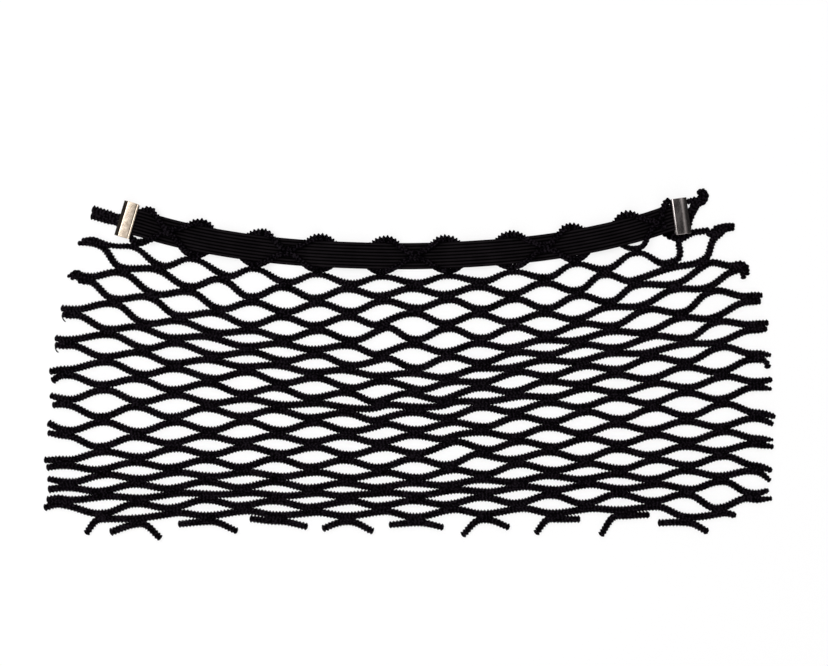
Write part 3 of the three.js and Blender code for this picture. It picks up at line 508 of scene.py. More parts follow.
# A strand's route is a list of knots. Each says where the strand's middle is, whether it runs over the
# elastic (1) or under it (0), its underside, top and width where the elastic leaves it alone, and how long
# its teeth are. They are shorter by the share "facing" on the side towards another cord or the elastic: the
# left side if it is above 0, and the right one if below.
knotColumns = ("x", "y", "over", "low", "high", "width", "teeth", "facing")


def knot(place, **changes):
    # a plain cord on the floor, and what is different at this knot
    values = {"over": 0, "low": 0, "high": cord["height"], "width": cord["width"], "teeth": 1, "facing": 0}
    values.update(changes)
    return [place[0], place[1]] + [values[name] for name in knotColumns[2:]]


# The two knots of single joints that differ from the others of their row: the left one, then the right one.
singleKnots = {  # (row, column, side)
    (0, 0, 1): ({}, {}),
    (0, 0, -1): ({}, {}),
    (0, 20, 1): ({"width": 0.0036, "teeth": 0.4},) * 2,
    (0, 20, -1): ({"width": 0.0036, "teeth": 0.4},) * 2,
    (1, 1, 1): ({"width": 0.0043, "teeth": 0.3},) * 2,
    (1, 19, 1): ({"high": 0.0015, "width": 0.0044}, {"high": 0.0009, "width": 0.0034}),
    (2, 0, 1): ({"low": 0.0015, "high": 0.0034, "teeth": 0.4},) * 2,
    (2, 0, -1): ({"high": 0.0016},) * 2,
}


def knotsAtJoint(row, column, side):
    # two knots along a joint's upper side (1) or lower side (-1); just below the elastic one of them climbs
    # over it
    raised = {c: up for c, _, up in crossings}
    usual = cord["nearOffset"] if row < 2 else cord["jointOffset"]
    offset = cord["offsets"].get((row, column), usual)
    made = []
    for way in (-1, 1):
        inward = row > 1 and (column, way) in ((0, 1), (lattice["lastColumn"], -1))
        reach = cord["edgeReach" if inward else "jointReach"]
        place = fromPoint(*joints[row, column], way * reach, side * offset)
        changes = {}
        if (row, column, side) in singleKnots:
            changes = singleKnots[row, column, side][max(way, 0)]
        elif row == 0:
            changes = {"over": 1 if raised.get(column) else 0, "width": cord["waist"]}
        elif row == 1:
            changes = {"width": cord["nearWidth"], "teeth": cord["nearTeeth"] if side > 0 else 1}
            if side > 0:
                changes["width"] += cord["wider"].get(column, 0)
            if raised.get(column + way):
                changes.update({"over": 1} if side > 0 else cord["leadIn"])
        made.append(knot(place, facing=-side * cord["facing"], **changes))
    return made


def tail(row, column, which):
    # the knots past a joint to a cut end
    x, y, _ = joints[row, column]
    ends = [bentEnds.get((row, column, which)), cutEnds[row, column][which]]
    teeth = cord["smooth"] if (row, column) in smoothEnds else 1
    changes = {"high": cord["height"] * cord["endTop"], "teeth": teeth}
    if column == 0:
        changes["facing"] = -cord["facing"] if which == 0 else cord["facing"]
    return [knot((x + end[0], y + end[1]), width=end[2], **changes) for end in ends if end]


inClip = {"low": 0.00105, "high": 0.00215, "width": 0.0022, "teeth": 0.3}
underClip = {"high": 0.0009, "width": 0.0030}


def knotsInClip(name, stations):
    # stations in a clip's own frame: along, across, and what differs from a plain knot
    return [knot(besideClip(clips[name], along, across), **changes) for along, across, changes in stations]


def leftClipKnots(upper):
    if upper:
        return knotsInClip("left", [
            (-0.0055, 0.0000, {**inClip, "width": 0.0037}),
            (0.0, 0.0030, inClip),
            (0.0042, 0.0058, inClip),
            (0.0068, 0.0077, {"low": 0.0003, "high": 0.0022, "width": 0.0026}),
            (0.0091, 0.0087, {"low": 0.0003, "high": 0.0026, "width": 0.0033}),
            (0.0117, 0.0086, {"over": 1, "width": 0.0036}),
            (0.0139, 0.0071, {"over": 1, "width": cord["waist"]}),
            (0.0163, 0.0054, {"over": 1, "width": cord["waist"]}),
        ])
    return knotsInClip("left", [
        (-0.0055, -0.0031, {**inClip, "width": 0.0037}),
        (0.0, -0.0056, inClip),
        (0.0032, -0.0076, inClip),
        (0.0054, -0.0091, {"high": 0.0021, "width": 0.0038}),
    ])


def rightClipKnots(upper):
    lift = clips["right"]["lift"]
    lifted = {**inClip, "low": inClip["low"] + lift, "high": inClip["high"] + lift}
    if upper:
        return knotsInClip("right", [
            (-0.0093, 0.0055, {"over": 1, "width": 0.0034}),
            (-0.0079, 0.0077, {"over": 1, "width": 0.0035}),
            (-0.0066, 0.0091, {"over": 0.5, "width": 0.0034}),
            (-0.0051, 0.0090, {"low": 0.0009, "high": 0.0028, "width": 0.0032}),
            (-0.0041, 0.0081, lifted),
            (0.0, 0.0076, lifted),
            (0.0042, 0.0076, lifted),
            (0.0059, 0.0075, {"low": 0.0009, "high": 0.0031, "width": 0.0034}),
            (0.0088, 0.0077, {"width": 0.0036}),
        ])
    return knotsInClip("right", [
        (0.0012, -0.0084, underClip),
        (0.0028, -0.0072, underClip),
        (0.0040, -0.0061, underClip),
        (0.0048, -0.0035, underClip),
        (0.0058, -0.0008, {"high": 0.0014, "width": 0.0040, "teeth": 0.6}),
        (0.0068, 0.0018, {"high": 0.0018, "width": 0.0052, "teeth": 0.4}),
        (0.0083, 0.0040, {"width": 0.0054, "teeth": 0.4}),
        (0.0105, 0.0056, {"width": 0.0042, "teeth": 0.4}),
    ])


# The loop that stands out above the elastic between two crossings: how far each knot is on its way from a
# crossing to the loop's middle, its distance from the elastic's centre line, and its width.
loopShape = {
    "leg": (0.55, 0.0056, 0.0031),
    "shoulder": (0.82, 0.0085, 0.0036),
    "crown": (1, 0.0089, 0.0042),
}
loopTeeth = {"teeth": 1.5, "facing": -0.85}


def loopKnots(start, end, loopX):
    made = []
    for (_, x, raised), part in (
        (start, "leg"), (start, "shoulder"), (start, "crown"), (end, "shoulder"), (end, "leg"),
    ):
        share, offset, width = loopShape[part]
        over = 0.5 if part == "crown" else 1 if raised else 0
        place = besideElastic(x + (loopX - x) * share, offset)
        made.append(knot(place, over=over, width=width, **loopTeeth))
    return made


def topStrand():
    # strand -1 runs along the upper side of row 0, with a loop above the elastic between each two crossings
    made = [*tail(0, 0, 0)[::-1], *knotsAtJoint(0, 0, 1), *leftClipKnots(True)]
    for i, crossing in enumerate(crossings):
        made += knotsAtJoint(0, crossing[0], 1)
        if i < len(loops):
            made += loopKnots(crossing, crossings[i + 1], loops[i][1])
    return [*made, *rightClipKnots(True), *knotsAtJoint(0, 20, 1), *tail(0, 20, 0)]


def strandKnots(row):
    # a strand zigzags between two rows: along the lower side of the joints of its own row, and the upper
    # side of those of the next, and it ends in a tail on either edge of the net
    made = []
    for column in range(lattice["lastColumn"] + 1):
        own = (row + column) % 2 == 0
        at = (row if own else row + 1, column)
        side = -1 if own else 1
        if at not in joints:
            continue
        last = (*at, 0 if own else 1)
        if (row, column) == (0, 1):
            made += leftClipKnots(False)
        if (row, column) == (0, 20):
            made += rightClipKnots(False)
            last = (*at, 1)
        if not made and at in cutEnds:
            made += tail(*at, 0 if side > 0 or column else 1)[::-1]
        made += knotsAtJoint(*at, side)
        led = guides.get((row, column), ())
        made += [knot((x, y), width=width, over=over) for x, y, width, over in led]
    return [*made, *tail(*last)]


def bottomStrands():
    # below the last row only the two tails of each joint are left of the strand
    row = lattice["lastRow"]
    return [
        [*tail(row, column, 0)[::-1], *knotsAtJoint(row, column, -1), *tail(row, column, 1)]
        for column in range(2, lattice["lastColumn"], 2)
    ]


def yarnKnots(row, column, bends):
    # a single yarn lying on the floor, from inside a cut end
    x, y, _ = joints[row, column]
    size = cord["loose"]
    return [knot((x + bend[0], y + bend[1]), high=size, width=size, teeth=0) for bend in bends]


fineSteps = 30  # for each knot, to measure a route's length


def routeThrough(knots, step):
    # a cubic between neighbouring knots, its slope at each the mean of the chords either side weighted by
    # the other's length; it is cut into equal steps, and the other columns are eased from knot to knot
    knots = np.array(knots, float)
    places = knots[:, :2]
    stations = np.concatenate(([0], np.cumsum(np.hypot(*np.diff(places, axis=0).T))))
    slopes = np.gradient(places, stations, axis=0)

    def along(at):
        i = np.clip(np.searchsorted(stations, at, side="right") - 1, 0, len(stations) - 2)
        span = (stations[i + 1] - stations[i])[:, None]
        t = (at[:, None] - stations[i][:, None]) / span
        here, there = places[i], places[i + 1]
        leave, arrive = slopes[i] * span, slopes[i + 1] * span
        rise = 3 * t**2 - 2 * t**3
        spot = here * (1 - rise) + there * rise + leave * (t**3 - 2 * t**2 + t) + arrive * (t**3 - t**2)
        way = (there - here) * (6 * t - 6 * t**2)
        way += leave * (3 * t**2 - 4 * t + 1) + arrive * (3 * t**2 - 2 * t)
        return spot, way / np.linalg.norm(way, axis=1, keepdims=True)

    fine = np.linspace(0, stations[-1], len(knots) * fineSteps)
    run = np.concatenate(([0], np.cumsum(np.linalg.norm(np.diff(along(fine)[0], axis=0), axis=1))))
    steps = max(2, round(run[-1] / step))
    at = np.interp(np.linspace(0, run[-1], steps + 1), run, fine)
    spot, way = along(at)
    return spot, way, easedThrough(stations, knots[:, 2:], at), run[-1]


def carried(spot, way, forward, across, up):
    # a section at each ring of a route: so far forward from its place, across to the left of its way, and up
    x = spot[:, :1] + way[:, :1] * forward - way[:, 1:] * across
    y = spot[:, 1:] + way[:, 1:] * forward + way[:, :1] * across
    return np.stack((x, y, up), -1)


# A cord's section, in shares of its half width and half height: two wales side by side, with a groove
# between them, and a flatter underside. It starts at the left edge and goes over the top.
sectionAcross = np.array((1, 0.86, 0.52, 0.2, 0, -0.2, -0.52, -0.86, -1, -0.72, -0.34, 0, 0.34, 0.72))
sectionUp = np.array((0, 0.62, 1, 0.84, 0.66, 0.84, 1, 0.62, 0, -0.72, -0.97, -0.84, -0.97, -0.72))


def cordHeights(spot, values):
    # a cord's underside and top at each ring: over the elastic it lies on it, and eases down to the floor
    # past its edge; under the elastic its top is pressed down to leave a gap
    over, low, high, width = values[:, 0], values[:, 1], values[:, 2], values[:, 3]
    along, offset = foundOnElastic(spot[:, 0], spot[:, 1])
    spread = width / 2
    before, after = elasticUnderside(along - spread), elasticUnderside(along + spread)
    under = np.minimum(before, after)
    top = np.maximum(before, after) + elastic["thickness"]
    inReach = (along > clips["left"]["x"]) & (along < clips["right"]["x"])
    past = np.abs(offset) - elastic["width"] / 2 - spread
    near = np.where(inReach, ease(1 - past / cord["climb"]), 0)
    raised = low * (1 - near * over) + over * near * (top + cord["gap"])
    thickness = high - low
    ceiling = under - cord["gap"] + (1 - near) * cord["height"]
    pressed = np.where(inReach & (over < 0.5), np.minimum(raised + thickness, ceiling), raised + thickness)
    return raised, pressed


def cordSurface(knots, seed):
    # the section carried along the strand's route: each ring is drawn forward in the middle of either wale,
    # so that the stitches are V-shaped, swells between two notches by |sin|, and stands out at the edges as
    # teeth by a power of it; at a cut end it shrinks by the root of a parabola. The last value is the area
    # of the cloth: the length times the mean width
    ring = cord["stitch"] / cord["rings"]
    spot, way, values, length = routeThrough(knots, ring)
    low, high = cordHeights(spot, values)
    count = len(spot)
    number = np.arange(count)
    phase = number / cord["rings"]
    swell = np.abs(np.sin(np.pi * phase))
    chance = np.random.default_rng(seed)
    stitches = count // cord["rings"] + 2
    stitch = np.floor(phase).astype(int)
    unevenLeft, unevenRight = 1 + cord["uneven"] * chance.uniform(-1, 1, (2, stitches))[:, stitch]
    toEnd = np.minimum(number, count - 1 - number) * ring
    size = np.sqrt(1 - (1 - cord["endSize"] ** 2) * (1 - np.minimum(toEnd / cord["endRound"], 1)) ** 2)

    edge = np.abs(sectionAcross) ** cord["edgePower"]
    lean = cord["lean"] * cord["stitch"] * (1 - np.abs(np.abs(sectionAcross) - 0.5) / 0.5)
    notched = 1 - cord["notch"] * (1 - swell[:, None] ** cord["notchPower"]) * (sectionUp > 0)
    half = values[:, 3] / 2 * size
    tooth = cord["teeth"] * values[:, 4] * (swell ** cord["toothPower"] - 0.5) * size
    toothLeft = tooth * unevenLeft * cord["upperTeeth"] * (1 - np.clip(values[:, 5], 0, 1))
    toothRight = tooth * unevenRight * cord["lowerTeeth"] * (1 - np.clip(-values[:, 5], 0, 1))
    sideTooth = np.where(sectionAcross > 0, toothLeft[:, None], -toothRight[:, None])
    across = half[:, None] * sectionAcross * (1 - cord["pinch"] * (1 - swell[:, None])) + sideTooth * edge
    middle, halfHeight = (low + high) / 2, (high - low) / 2 * size
    up = middle[:, None] + halfHeight[:, None] * sectionUp * notched
    points = carried(spot, way, lean * size[:, None] ** 4, across, np.maximum(up, cord["rest"]))
    # painted shade and highlight: dark in the notches and on the underside, lighter on the crowns of the top
    notch, crown, power = cord["paintedLight"]
    paintedLight = (notch + crown * swell[:, None]) * np.clip(sectionUp, 0, 1) ** power
    return points, phase, paintedLight, length * values[:, 3].mean()


cornerSteps = ((0, 0), (0, 1), (1, 1), (1, 0))  # of a four-sided face: to which ring, and to which side


def faceCorners(k, j, rings, sides):
    # the faces between each ring k and the next one and each side j and the next one, both counted round
    return np.stack([(k + ring) % rings * sides + (j + side) % sides for ring, side in cornerSteps], -1)


def closedTube(points, alongUv, paintedLight):
    # a tube of four-sided faces, with a fan to a middle corner at either end
    rings, sides, _ = points.shape
    k, j = np.divmod(np.arange((rings - 1) * sides), sides)
    quads = faceCorners(k, j, rings, sides)
    uv = np.stack([np.stack((alongUv[k + ring], (j + side) / sides), -1) for ring, side in cornerSteps], 1)
    here, there = np.arange(sides), (np.arange(sides) + 1) % sides
    middle, last = np.full(sides, rings * sides), (rings - 1) * sides
    fans = np.concatenate((
        np.stack((middle, there, here), -1),
        np.stack((middle + 1, last + here, last + there), -1),
    ))
    fanUv = np.repeat(alongUv[[0, -1]], sides * 3).reshape(-1, 3, 1)
    fanUv = np.concatenate((fanUv, np.full_like(fanUv, 0.5)), -1)
    corners = np.concatenate((points.reshape(-1, 3), points[[0, -1]].mean(axis=1)))
    # the painted light at each corner, and at the middle of either end
    paintedLights = np.concatenate((np.broadcast_to(paintedLight, (rings, sides)).ravel(), (endPaintedLight, endPaintedLight)))
    return corners, quads, fans, uv, fanUv, paintedLights


def joined(parts):
    # several closed tubes as one set of corners and faces, each one's numbered on from the last one's
    starts = np.cumsum([0] + [len(part[0]) for part in parts[:-1]])
    corners = np.concatenate([part[0] for part in parts])
    quads = np.concatenate([part[1] + start for part, start in zip(parts, starts)])
    fans = np.concatenate([part[2] + start for part, start in zip(parts, starts)])
    rest = [np.concatenate([part[i] for part in parts]) for i in (3, 4, 5)]
    return corners, quads, fans, *rest


def addPiece(name, surface, material):
    # puts whole arrays of corners and faces into a mesh, with its UV map and its attribute of painted shade
    # and highlight
    corners, quads, fans, uv, fanUv, paintedLights = surface
    mesh = bpy.data.meshes.new(name)
    mesh.vertices.add(len(corners))
    mesh.vertices.foreach_set("co", corners.astype(np.float32).ravel())
    order = np.concatenate((quads.ravel(), fans.ravel())).astype(np.int32)
    starts = np.concatenate((np.arange(len(quads)) * 4, len(quads) * 4 + np.arange(len(fans)) * 3))
    mesh.loops.add(len(order))
    mesh.loops.foreach_set("vertex_index", order)
    mesh.polygons.add(len(starts))
    mesh.polygons.foreach_set("loop_start", starts.astype(np.int32))
    mesh.polygons.foreach_set("use_smooth", np.ones(len(starts), bool))
    mesh.update(calc_edges=True)
    layer = mesh.uv_layers.new(name="surface")
    layer.uv.foreach_set("vector", np.concatenate((uv.ravel(), fanUv.ravel())).astype(np.float32))
    mesh.attributes.new("paintedLight", "FLOAT", "POINT").data.foreach_set("value", paintedLights.astype(np.float32))
    mesh.materials.append(material)
    piece = addObject(name, mesh)
    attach(piece, "root")
    return piece


def feed(tree, socket, value):
    # an input is given as a value or as the socket that feeds it
    if isinstance(value, bpy.types.NodeSocket):
        tree.links.new(value, socket)
    else:
        socket.default_value = value


def addNode(tree, kind, inputs=None, **settings):
    made = tree.nodes.new(kind)
    for name, value in settings.items():
        setattr(made, name, value)
    for name, value in (inputs or {}).items():
        feed(tree, made.inputs[name], value)
    return made


def addRamp(tree, factor, stops):
    ramp = addNode(tree, "ShaderNodeValToRGB", {"Fac": factor})
    elements = ramp.color_ramp.elements
    elements[0].position, elements[0].color = stops[0][0], (*stops[0][1], 1)
    elements[1].position, elements[1].color = stops[-1][0], (*stops[-1][1], 1)
    for place, colour in stops[1:-1]:
        elements.new(place).color = (*colour, 1)
    return ramp.outputs["Color"]


def maths(tree, operation, first, second=0.0, third=0.0):
    made = addNode(tree, "ShaderNodeMath", operation=operation)
    for socket, value in zip(made.inputs, (first, second, third)):
        feed(tree, socket, value)
    return made.outputs[0]


def newMaterial(name):
    material = bpy.data.materials.new(name)
    material.use_nodes = True
    tree = material.node_tree
    return material, tree, tree.nodes["Principled BSDF"], addNode(tree, "ShaderNodeTexCoord").outputs


def noise(tree, vector, scale, detail):
    made = addNode(tree, "ShaderNodeTexNoise", {"Vector": vector, "Scale": scale, "Detail": detail})
    return made.outputs["Fac"]


def dress(tree, shader, colour, rough, roughness, height, bump):
    # a shader's colour, its roughness from one value to another by a factor, and its bump by strength and
    # distance
    low, high = roughness
    strength, distance = bump
    raised = addNode(tree, "ShaderNodeBump", {"Height": height, "Strength": strength, "Distance": distance})
    tree.links.new(colour, shader.inputs["Base Color"])
    tree.links.new(maths(tree, "MULTIPLY_ADD", rough, high - low, low), shader.inputs["Roughness"])
    tree.links.new(raised.outputs["Normal"], shader.inputs["Normal"])


yarn = {
    # The specks are painted glints: small light dots in the tone where the stitches would catch the light.
    "noises": {"slow": (160, 2), "paintedGlint": (900, 2), "fine": (2600, 3)},  # scale and detail
    "lines": ("Y", 44, 3.0),  # filaments: across which UV, how many round the cord, and how they wobble
    "shares": {"slow": 0.6, "paintedGlint": 2.4, "paintedLight": 0.9, "fine": 0.6},  # in the tone
    "tone": -1.78,  # added to it
    "stops": [
        (0.0, (0.0001, 0.0001, 0.0001)),
        (0.5, (0.0008, 0.0005, 0.0009)),
        (1.0, (0.0117, 0.0092, 0.0123)),
    ],
    "roughness": (0.5, 0.68),
    "bump": (0.5, 0.00006),
    "specular": 0.005,
}


def clothMaterial(name, values):
    # black yarn: painted shade in the grooves and painted highlight on what stands out, with noises of
    # several sizes in its tone, and fine lines by the sine of one UV coordinate, made uneven by the finest
    # noise
    material, tree, shader, where = newMaterial(name)
    parts = {part: noise(tree, where["Object"], *size) for part, size in values["noises"].items()}
    parts["paintedLight"] = addNode(tree, "ShaderNodeAttribute", attribute_name="paintedLight").outputs["Fac"]
    axis, number, wobble = values["lines"]
    coordinate = addNode(tree, "ShaderNodeSeparateXYZ", {"Vector": where["UV"]}).outputs[axis]
    wobble = maths(tree, "MULTIPLY", parts["fine"], wobble)
    parts["lines"] = maths(tree, "SINE", maths(tree, "MULTIPLY_ADD", coordinate, number * math.tau, wobble))
    tone = values["tone"]
    for part, share in values["shares"].items():
        tone = maths(tree, "MULTIPLY_ADD", parts[part], share, tone)
    colour = addRamp(tree, tone, values["stops"])
    height = maths(tree, "MULTIPLY_ADD", parts["lines"], 0.5, parts["fine"])
    dress(tree, shader, colour, parts["fine"], values["roughness"], height, values["bump"])
    shader.inputs["Specular IOR Level"].default_value = values["specular"]
    return material


netMaterial = clothMaterial("net_cord", yarn)

# The net is made in strips of a few strands, because of the many faces that its stitches need.
strips = {
    "strands": ((-1, 3), (4, 8), (9, 13), (14, 18), (19, 22)),
    "seeds": 100,  # from a strip's first cord to the next strip's
}


def addNet():
    # the strands of each strip are made into one piece, and its cloth is summed as each cord's length times
    # its mean width
    for number, (first, last) in enumerate(strips["strands"], 1):
        routes = []
        for row in range(first, last + 1):
            if row < 0:
                routes.append(topStrand())
            elif row < lattice["lastRow"]:
                routes.append(strandKnots(row))
            else:
                routes += bottomStrands()
        routes += [yarnKnots(line[0], line[1], line[2:]) for line in looseYarns if first <= line[0] <= last]
        parts, cloth = [], 0
        for i, knots in enumerate(routes):
            points, phase, paintedLight, cover = cordSurface(knots, strips["seeds"] * number + i)
            parts.append(closedTube(points, phase, paintedLight))
            cloth += cover
        piece = addPiece(f"net_strip_{number}", joined(parts), netMaterial)
        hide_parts("net")


addNet()


elasticYarn = {
    "noises": {"slow": (120, 2), "fine": (2200, 3)},
    "lines": ("X", 1900, 1.5),  # cross yarns, so many to a metre
    # the tone follows the ribs: painted shade in the grooves, painted highlight on the ribs
    "shares": {"lines": 0.06, "paintedLight": 0.8, "slow": 0.3},
    "tone": -0.1,
    "stops": [
        (0.0, (0.0001, 0.0001, 0.0001)),
        (0.5, (0.0001, 0.0001, 0.0001)),
        (1.0, (0.0131, 0.0105, 0.0125)),
    ],
    "roughness": (0.45, 0.6),
    "bump": (0.5, 0.00005),
    "specular": 0.005,
}


def elasticProfile():
    # across the elastic: ribs by a power of |sin| over a flat core on both faces, which goes down to
    # nothing at the two edges by the root of 1 less a power
    ribs = elastic["ribs"]
    top = np.linspace(1, -1, ribs * elastic["pointsOnTop"] + 1)
    below = np.linspace(-1, 1, ribs * elastic["pointsBelow"] + 1)[1:-1]
    across = np.concatenate((top, below))
    rib = np.abs(np.sin(np.pi * ribs * (1 - across) / 2)) ** elastic["ribPower"]
    body = np.sqrt(1 - np.abs(across) ** elastic["edgePower"])
    up = (elastic["core"] / 2 + elastic["rib"] * rib) * body
    up[len(top):] *= -1
    return across, up, rib


def addElastic():
    # the profile carried along the centre line, straight inside the clips and sagging between them, and
    # waved up and down by the joints that it crosses
    left, right = clips["left"], clips["right"]
    knots = [knot(besideClip(left, along, 0)) for along in (-elastic["inClip"], 0, clipMouth)]
    first = knots[-1][0] + elastic["bendLength"]
    last = besideClip(right, -clipMouth, 0)[0] - elastic["bendLength"]
    knots += [knot((x, float(elasticY(x)))) for x in np.linspace(first, last, elastic["sagKnots"])]
    knots += [knot(besideClip(right, along, 0)) for along in (-clipMouth, 0, elastic["inClip"])]
    spot, way, _, length = routeThrough(knots, elastic["step"])
    across, up, rib = elasticProfile()
    offset = across * elastic["width"] / 2
    middle = elasticUnderside(spot[:, 0]) + elastic["thickness"] / 2
    points = carried(spot, way, 0, offset, middle[:, None] + up)
    run = np.linspace(0, length, len(spot))
    # the ribs' height is also their painted light: painted shade in the grooves, painted highlight on the
    # ribs
    surface = closedTube(points, run, rib)
    piece = addPiece("elastic_band_cloth", surface, clothMaterial("elastic", elasticYarn))
    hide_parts("elastic_band")
    print("elastic", round(length, 4), len(piece.data.polygons), "faces")


addElastic()

clipShape = {
    "halfLength": 0.0100,
    "height": 0.0049,
    "wall": 0.0007,
    "corner": 0.0003,
    "lipFall": 0.33,  # the elastic's side falls by this share of its lip's width
    "grooveWidth": 0.00016,
    "groove": 0.00020,
    "grooveBeside": 0.0001,  # how far inside the lip it runs
    "pointsOutside": 45,  # across the strip
    "pointsInside": 9,
    "pointsRound": 7,  # round each corner of the sleeve
}


def clipOutline():
    # round the sleeve across the elastic: a rectangle with rounded corners, as places and outward ways
    inside = clipShape["halfLength"] - clipShape["corner"]
    low, high = clipShape["corner"], clipShape["height"] - clipShape["corner"]
    turn = np.linspace(0, math.pi / 2, clipShape["pointsRound"])
    places, ways = [], []
    for start, centre in enumerate(((inside, high), (-inside, high), (-inside, low), (inside, low))):
        angle = turn + start * math.pi / 2
        way = np.stack((np.cos(angle), np.sin(angle)), -1)
        places.append(np.array(centre) + way * clipShape["corner"])
        ways.append(way)
    return np.concatenate(places), np.concatenate(ways)


def flangeFall(across, place):
    # how far down the outer mouth's turned-down edge goes: by a power of the way over it
    way = (place["flange"] - clipMouth - across) / place["flange"]
    return place["flangeDrop"] * np.clip(way, 0, 1) ** place["flangeCurve"]


def addClip(name, place, material):
    # a strip's section carried round the sleeve's outline: crowned across by the square, with a turned-down
    # outer edge, and a bell-shaped groove and a sloping lip on the side that the elastic goes in
    half = clipMouth  # the strip is as wide as the sleeve is long
    outer = np.linspace(-half, half, clipShape["pointsOutside"])
    fall = flangeFall(outer, place)
    lip = np.clip(outer - half + place["lip"], 0, None) * clipShape["lipFall"]
    crown = -place["crown"] * (outer / half) ** 2 - lip
    fromGroove = outer - half + place["lip"] + clipShape["grooveBeside"]
    groove = -clipShape["groove"] * np.exp(-((fromGroove / clipShape["grooveWidth"]) ** 2))
    inner = np.linspace(half, -half, clipShape["pointsInside"])
    across = np.concatenate((outer, inner))
    out = np.concatenate((crown + groove, np.full(len(inner), -clipShape["wall"])))
    drop = np.concatenate((fall, flangeFall(inner, place)))
    places, ways = clipOutline()
    sideways = places[:, :1] + ways[:, :1] * out
    up = (places[:, 1:] + ways[:, 1:] * out) * (1 - drop / clipShape["height"])
    points = np.stack((*besideClip(place, across * place["lipSide"], sideways), up + place["lift"]), -1)
    rings, sides = points.shape[:2]
    k, j = np.divmod(np.arange(rings * sides), sides)
    quads = faceCorners(k, j, rings, sides)
    if place["lipSide"] > 0:
        quads = quads[:, ::-1]
    around = np.concatenate(([0], np.cumsum(np.hypot(*np.diff(places, axis=0).T))))
    uv = np.stack((around[quads // sides], across[quads % sides]), -1)
    none = np.empty((0, 3), int)
    surface = (points.reshape(-1, 3), quads, none, uv, np.empty((0, 3, 2)), np.ones(rings * sides))
    piece = addPiece(f"{name}_metal", surface, material)
    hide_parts(name)
    print(name, len(piece.data.polygons), "faces")


nickel = {
    "bright": ((0.33, 0.265, 0.205), (0.60, 0.52, 0.425)),
    # The right clip's colours: the same nickel painted darker, painted shade for the darker surroundings
    # that it reflects.
    "shadedCopy": ((0.25, 0.225, 0.22), (0.38, 0.35, 0.34)),
    "streaks": (60, 9000, 1),  # how many to a metre round the sleeve and along it
    "streakShare": 0.4,  # in the tone
    "streakNoise": (1, 3),  # scale and detail
    "clouds": (420, 2),
    "cloudShare": 0.6,
    "stops": (0.3, 0.7),
    "roughness": (0.12, 0.22),
    "bump": (0.15, 0.00002),
    "anisotropic": 0.2,
}


def nickelMaterial(name, colours):
    # brushed nickel: fine streaks along the clip from the piece's own UV, in tone and roughness
    material, tree, shader, where = newMaterial(name)
    stretched = addNode(tree, "ShaderNodeMapping", {"Vector": where["UV"], "Scale": nickel["streaks"]})
    streaks = noise(tree, stretched.outputs["Vector"], *nickel["streakNoise"])
    clouds = maths(tree, "MULTIPLY", noise(tree, where["Object"], *nickel["clouds"]), nickel["cloudShare"])
    tone = maths(tree, "MULTIPLY_ADD", streaks, nickel["streakShare"], clouds)
    colour = addRamp(tree, tone, list(zip(nickel["stops"], colours)))
    dress(tree, shader, colour, tone, nickel["roughness"], streaks, nickel["bump"])
    shader.inputs["Metallic"].default_value = 1
    shader.inputs["Anisotropic"].default_value = nickel["anisotropic"]
    return material


addClip("clip_left", clips["left"], nickelMaterial("clip_nickel", nickel["bright"]))
# the right clip is the same part as the left one, given the painted-shade copy of its colours
addClip("clip_right", clips["right"], nickelMaterial("clip_nickel_shaded_copy", nickel["shadedCopy"]))


studio = {
    "floor": (0.22, 0.22, 0.221),
    "floorGlow": 0.775,
    "floorSize": 16,
    "floorDrop": 0.0002,
    "floorGrain": (900, 2),  # scale and detail
    "floorDark": 0.985,  # the grain's darkest tone, as a share of the colour
    "floorRoughness": 0.9,
    "floorSpecular": 0.1,
    "sky": (1.0, 0.99, 0.99),
    "skyStrength": 1.35,
    "cardStrength": 0.04,
    "cardToward": (0.195, 0.06, 0.979),
    "cardAngles": (12, 19),  # dark inside the first, gone at the second, in degrees
    "sidesFrom": (0.43, 0.62),  # how far to the left or right the sky begins to darken, and is dark
    "sides": 0.03,
    "keyPlace": (-0.75, 0.35, 1.3),
    "keySize": (0.7, 0.7),
    "keyPower": 9,
    "stripPlace": (0.37, 0.16, 1.26),
    "stripSize": (0.05, 0.5),
    "stripPower": 0.04,
}


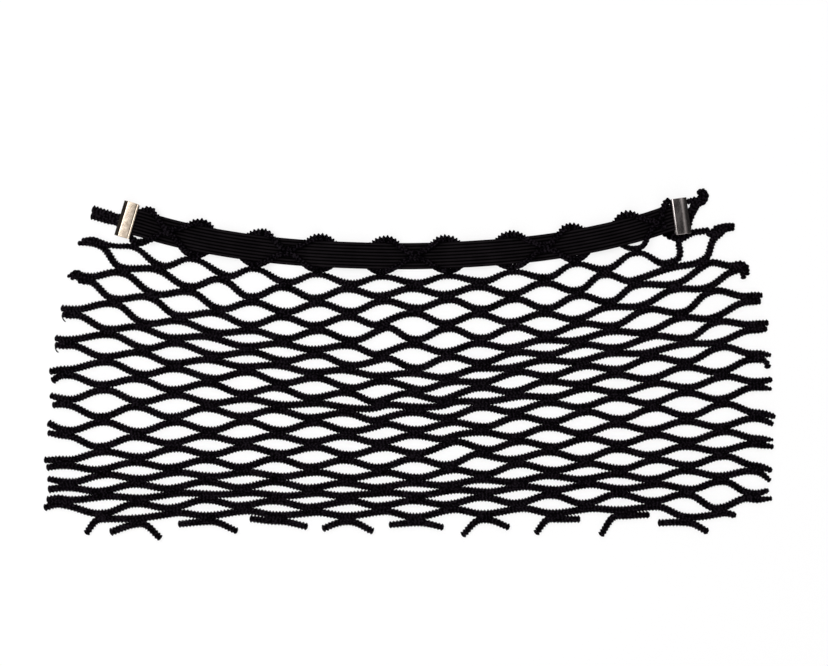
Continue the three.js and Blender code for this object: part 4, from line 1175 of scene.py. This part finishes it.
def addFloor(values):
    half, low = values["floorSize"] / 2, -values["floorDrop"]
    corners = [(-half, -half, low), (half, -half, low), (half, half, low), (-half, half, low)]
    mesh = bpy.data.meshes.new("floor")
    mesh.from_pydata(corners, [], [(0, 1, 2, 3)])
    material, tree, shader, where = newMaterial("floor")
    grain = noise(tree, where["Object"], *values["floorGrain"])
    stops = [(0.3, [values["floorDark"] * tone for tone in values["floor"]]), (0.7, values["floor"])]
    tree.links.new(addRamp(tree, grain, stops), shader.inputs["Base Color"])
    shader.inputs["Emission Color"].default_value = (1, 1, 1, 1)
    shader.inputs["Emission Strength"].default_value = values["floorGlow"]
    shader.inputs["Roughness"].default_value = values["floorRoughness"]
    shader.inputs["Specular IOR Level"].default_value = values["floorSpecular"]
    mesh.materials.append(material)
    addObject("floor", mesh)


def fade(tree, value, start, end, atStart, atEnd):
    # eased from one strength to another while a value goes from its start to its end
    inputs = {"Value": value, "From Min": start, "From Max": end, "To Min": atStart, "To Max": atEnd}
    return addNode(tree, "ShaderNodeMapRange", inputs, interpolation_type="SMOOTHSTEP").outputs["Result"]


def addSky(values):
    # an even sky, dark low down on the left and the right, with one dark card in it, a little right of
    # straight up
    world = bpy.data.worlds.new("sky")
    world.use_nodes = True
    tree = world.node_tree
    where = addNode(tree, "ShaderNodeTexCoord").outputs["Generated"]
    toward = np.array(values["cardToward"]) / np.linalg.norm(values["cardToward"])
    facing = addNode(tree, "ShaderNodeVectorMath", operation="DOT_PRODUCT")
    tree.links.new(where, facing.inputs[0])
    facing.inputs[1].default_value = toward
    inner, outer = (math.cos(math.radians(angle)) for angle in values["cardAngles"])
    strengths = (values["skyStrength"], values["cardStrength"])
    strength = fade(tree, facing.outputs["Value"], outer, inner, *strengths)
    split = addNode(tree, "ShaderNodeSeparateXYZ", {"Vector": where})
    sideways = maths(tree, "ABSOLUTE", split.outputs["X"])
    sides = fade(tree, sideways, *values["sidesFrom"], 1.0, values["sides"])
    background = tree.nodes["Background"]
    tree.links.new(maths(tree, "MULTIPLY", strength, sides), background.inputs["Strength"])
    background.inputs["Color"].default_value = (*values["sky"], 1)
    bpy.context.scene.world = world


def addLight(name, place, size, power):
    # a soft light aimed at the origin
    data = bpy.data.lights.new(name, "AREA")
    data.shape = "RECTANGLE"
    data.size, data.size_y = size
    data.energy = power
    light = addObject(name, data)
    x, y, z = place
    light.location = place
    light.rotation_euler = (math.atan2(math.hypot(x, y), z), 0, math.atan2(y, x) + math.pi / 2)


addFloor(studio)
addSky(studio)
addLight("key", studio["keyPlace"], studio["keySize"], studio["keyPower"])
addLight("strip", studio["stripPlace"], studio["stripSize"], studio["stripPower"])
bpy.context.scene.view_settings.view_transform = "Standard"
print("studio lit")
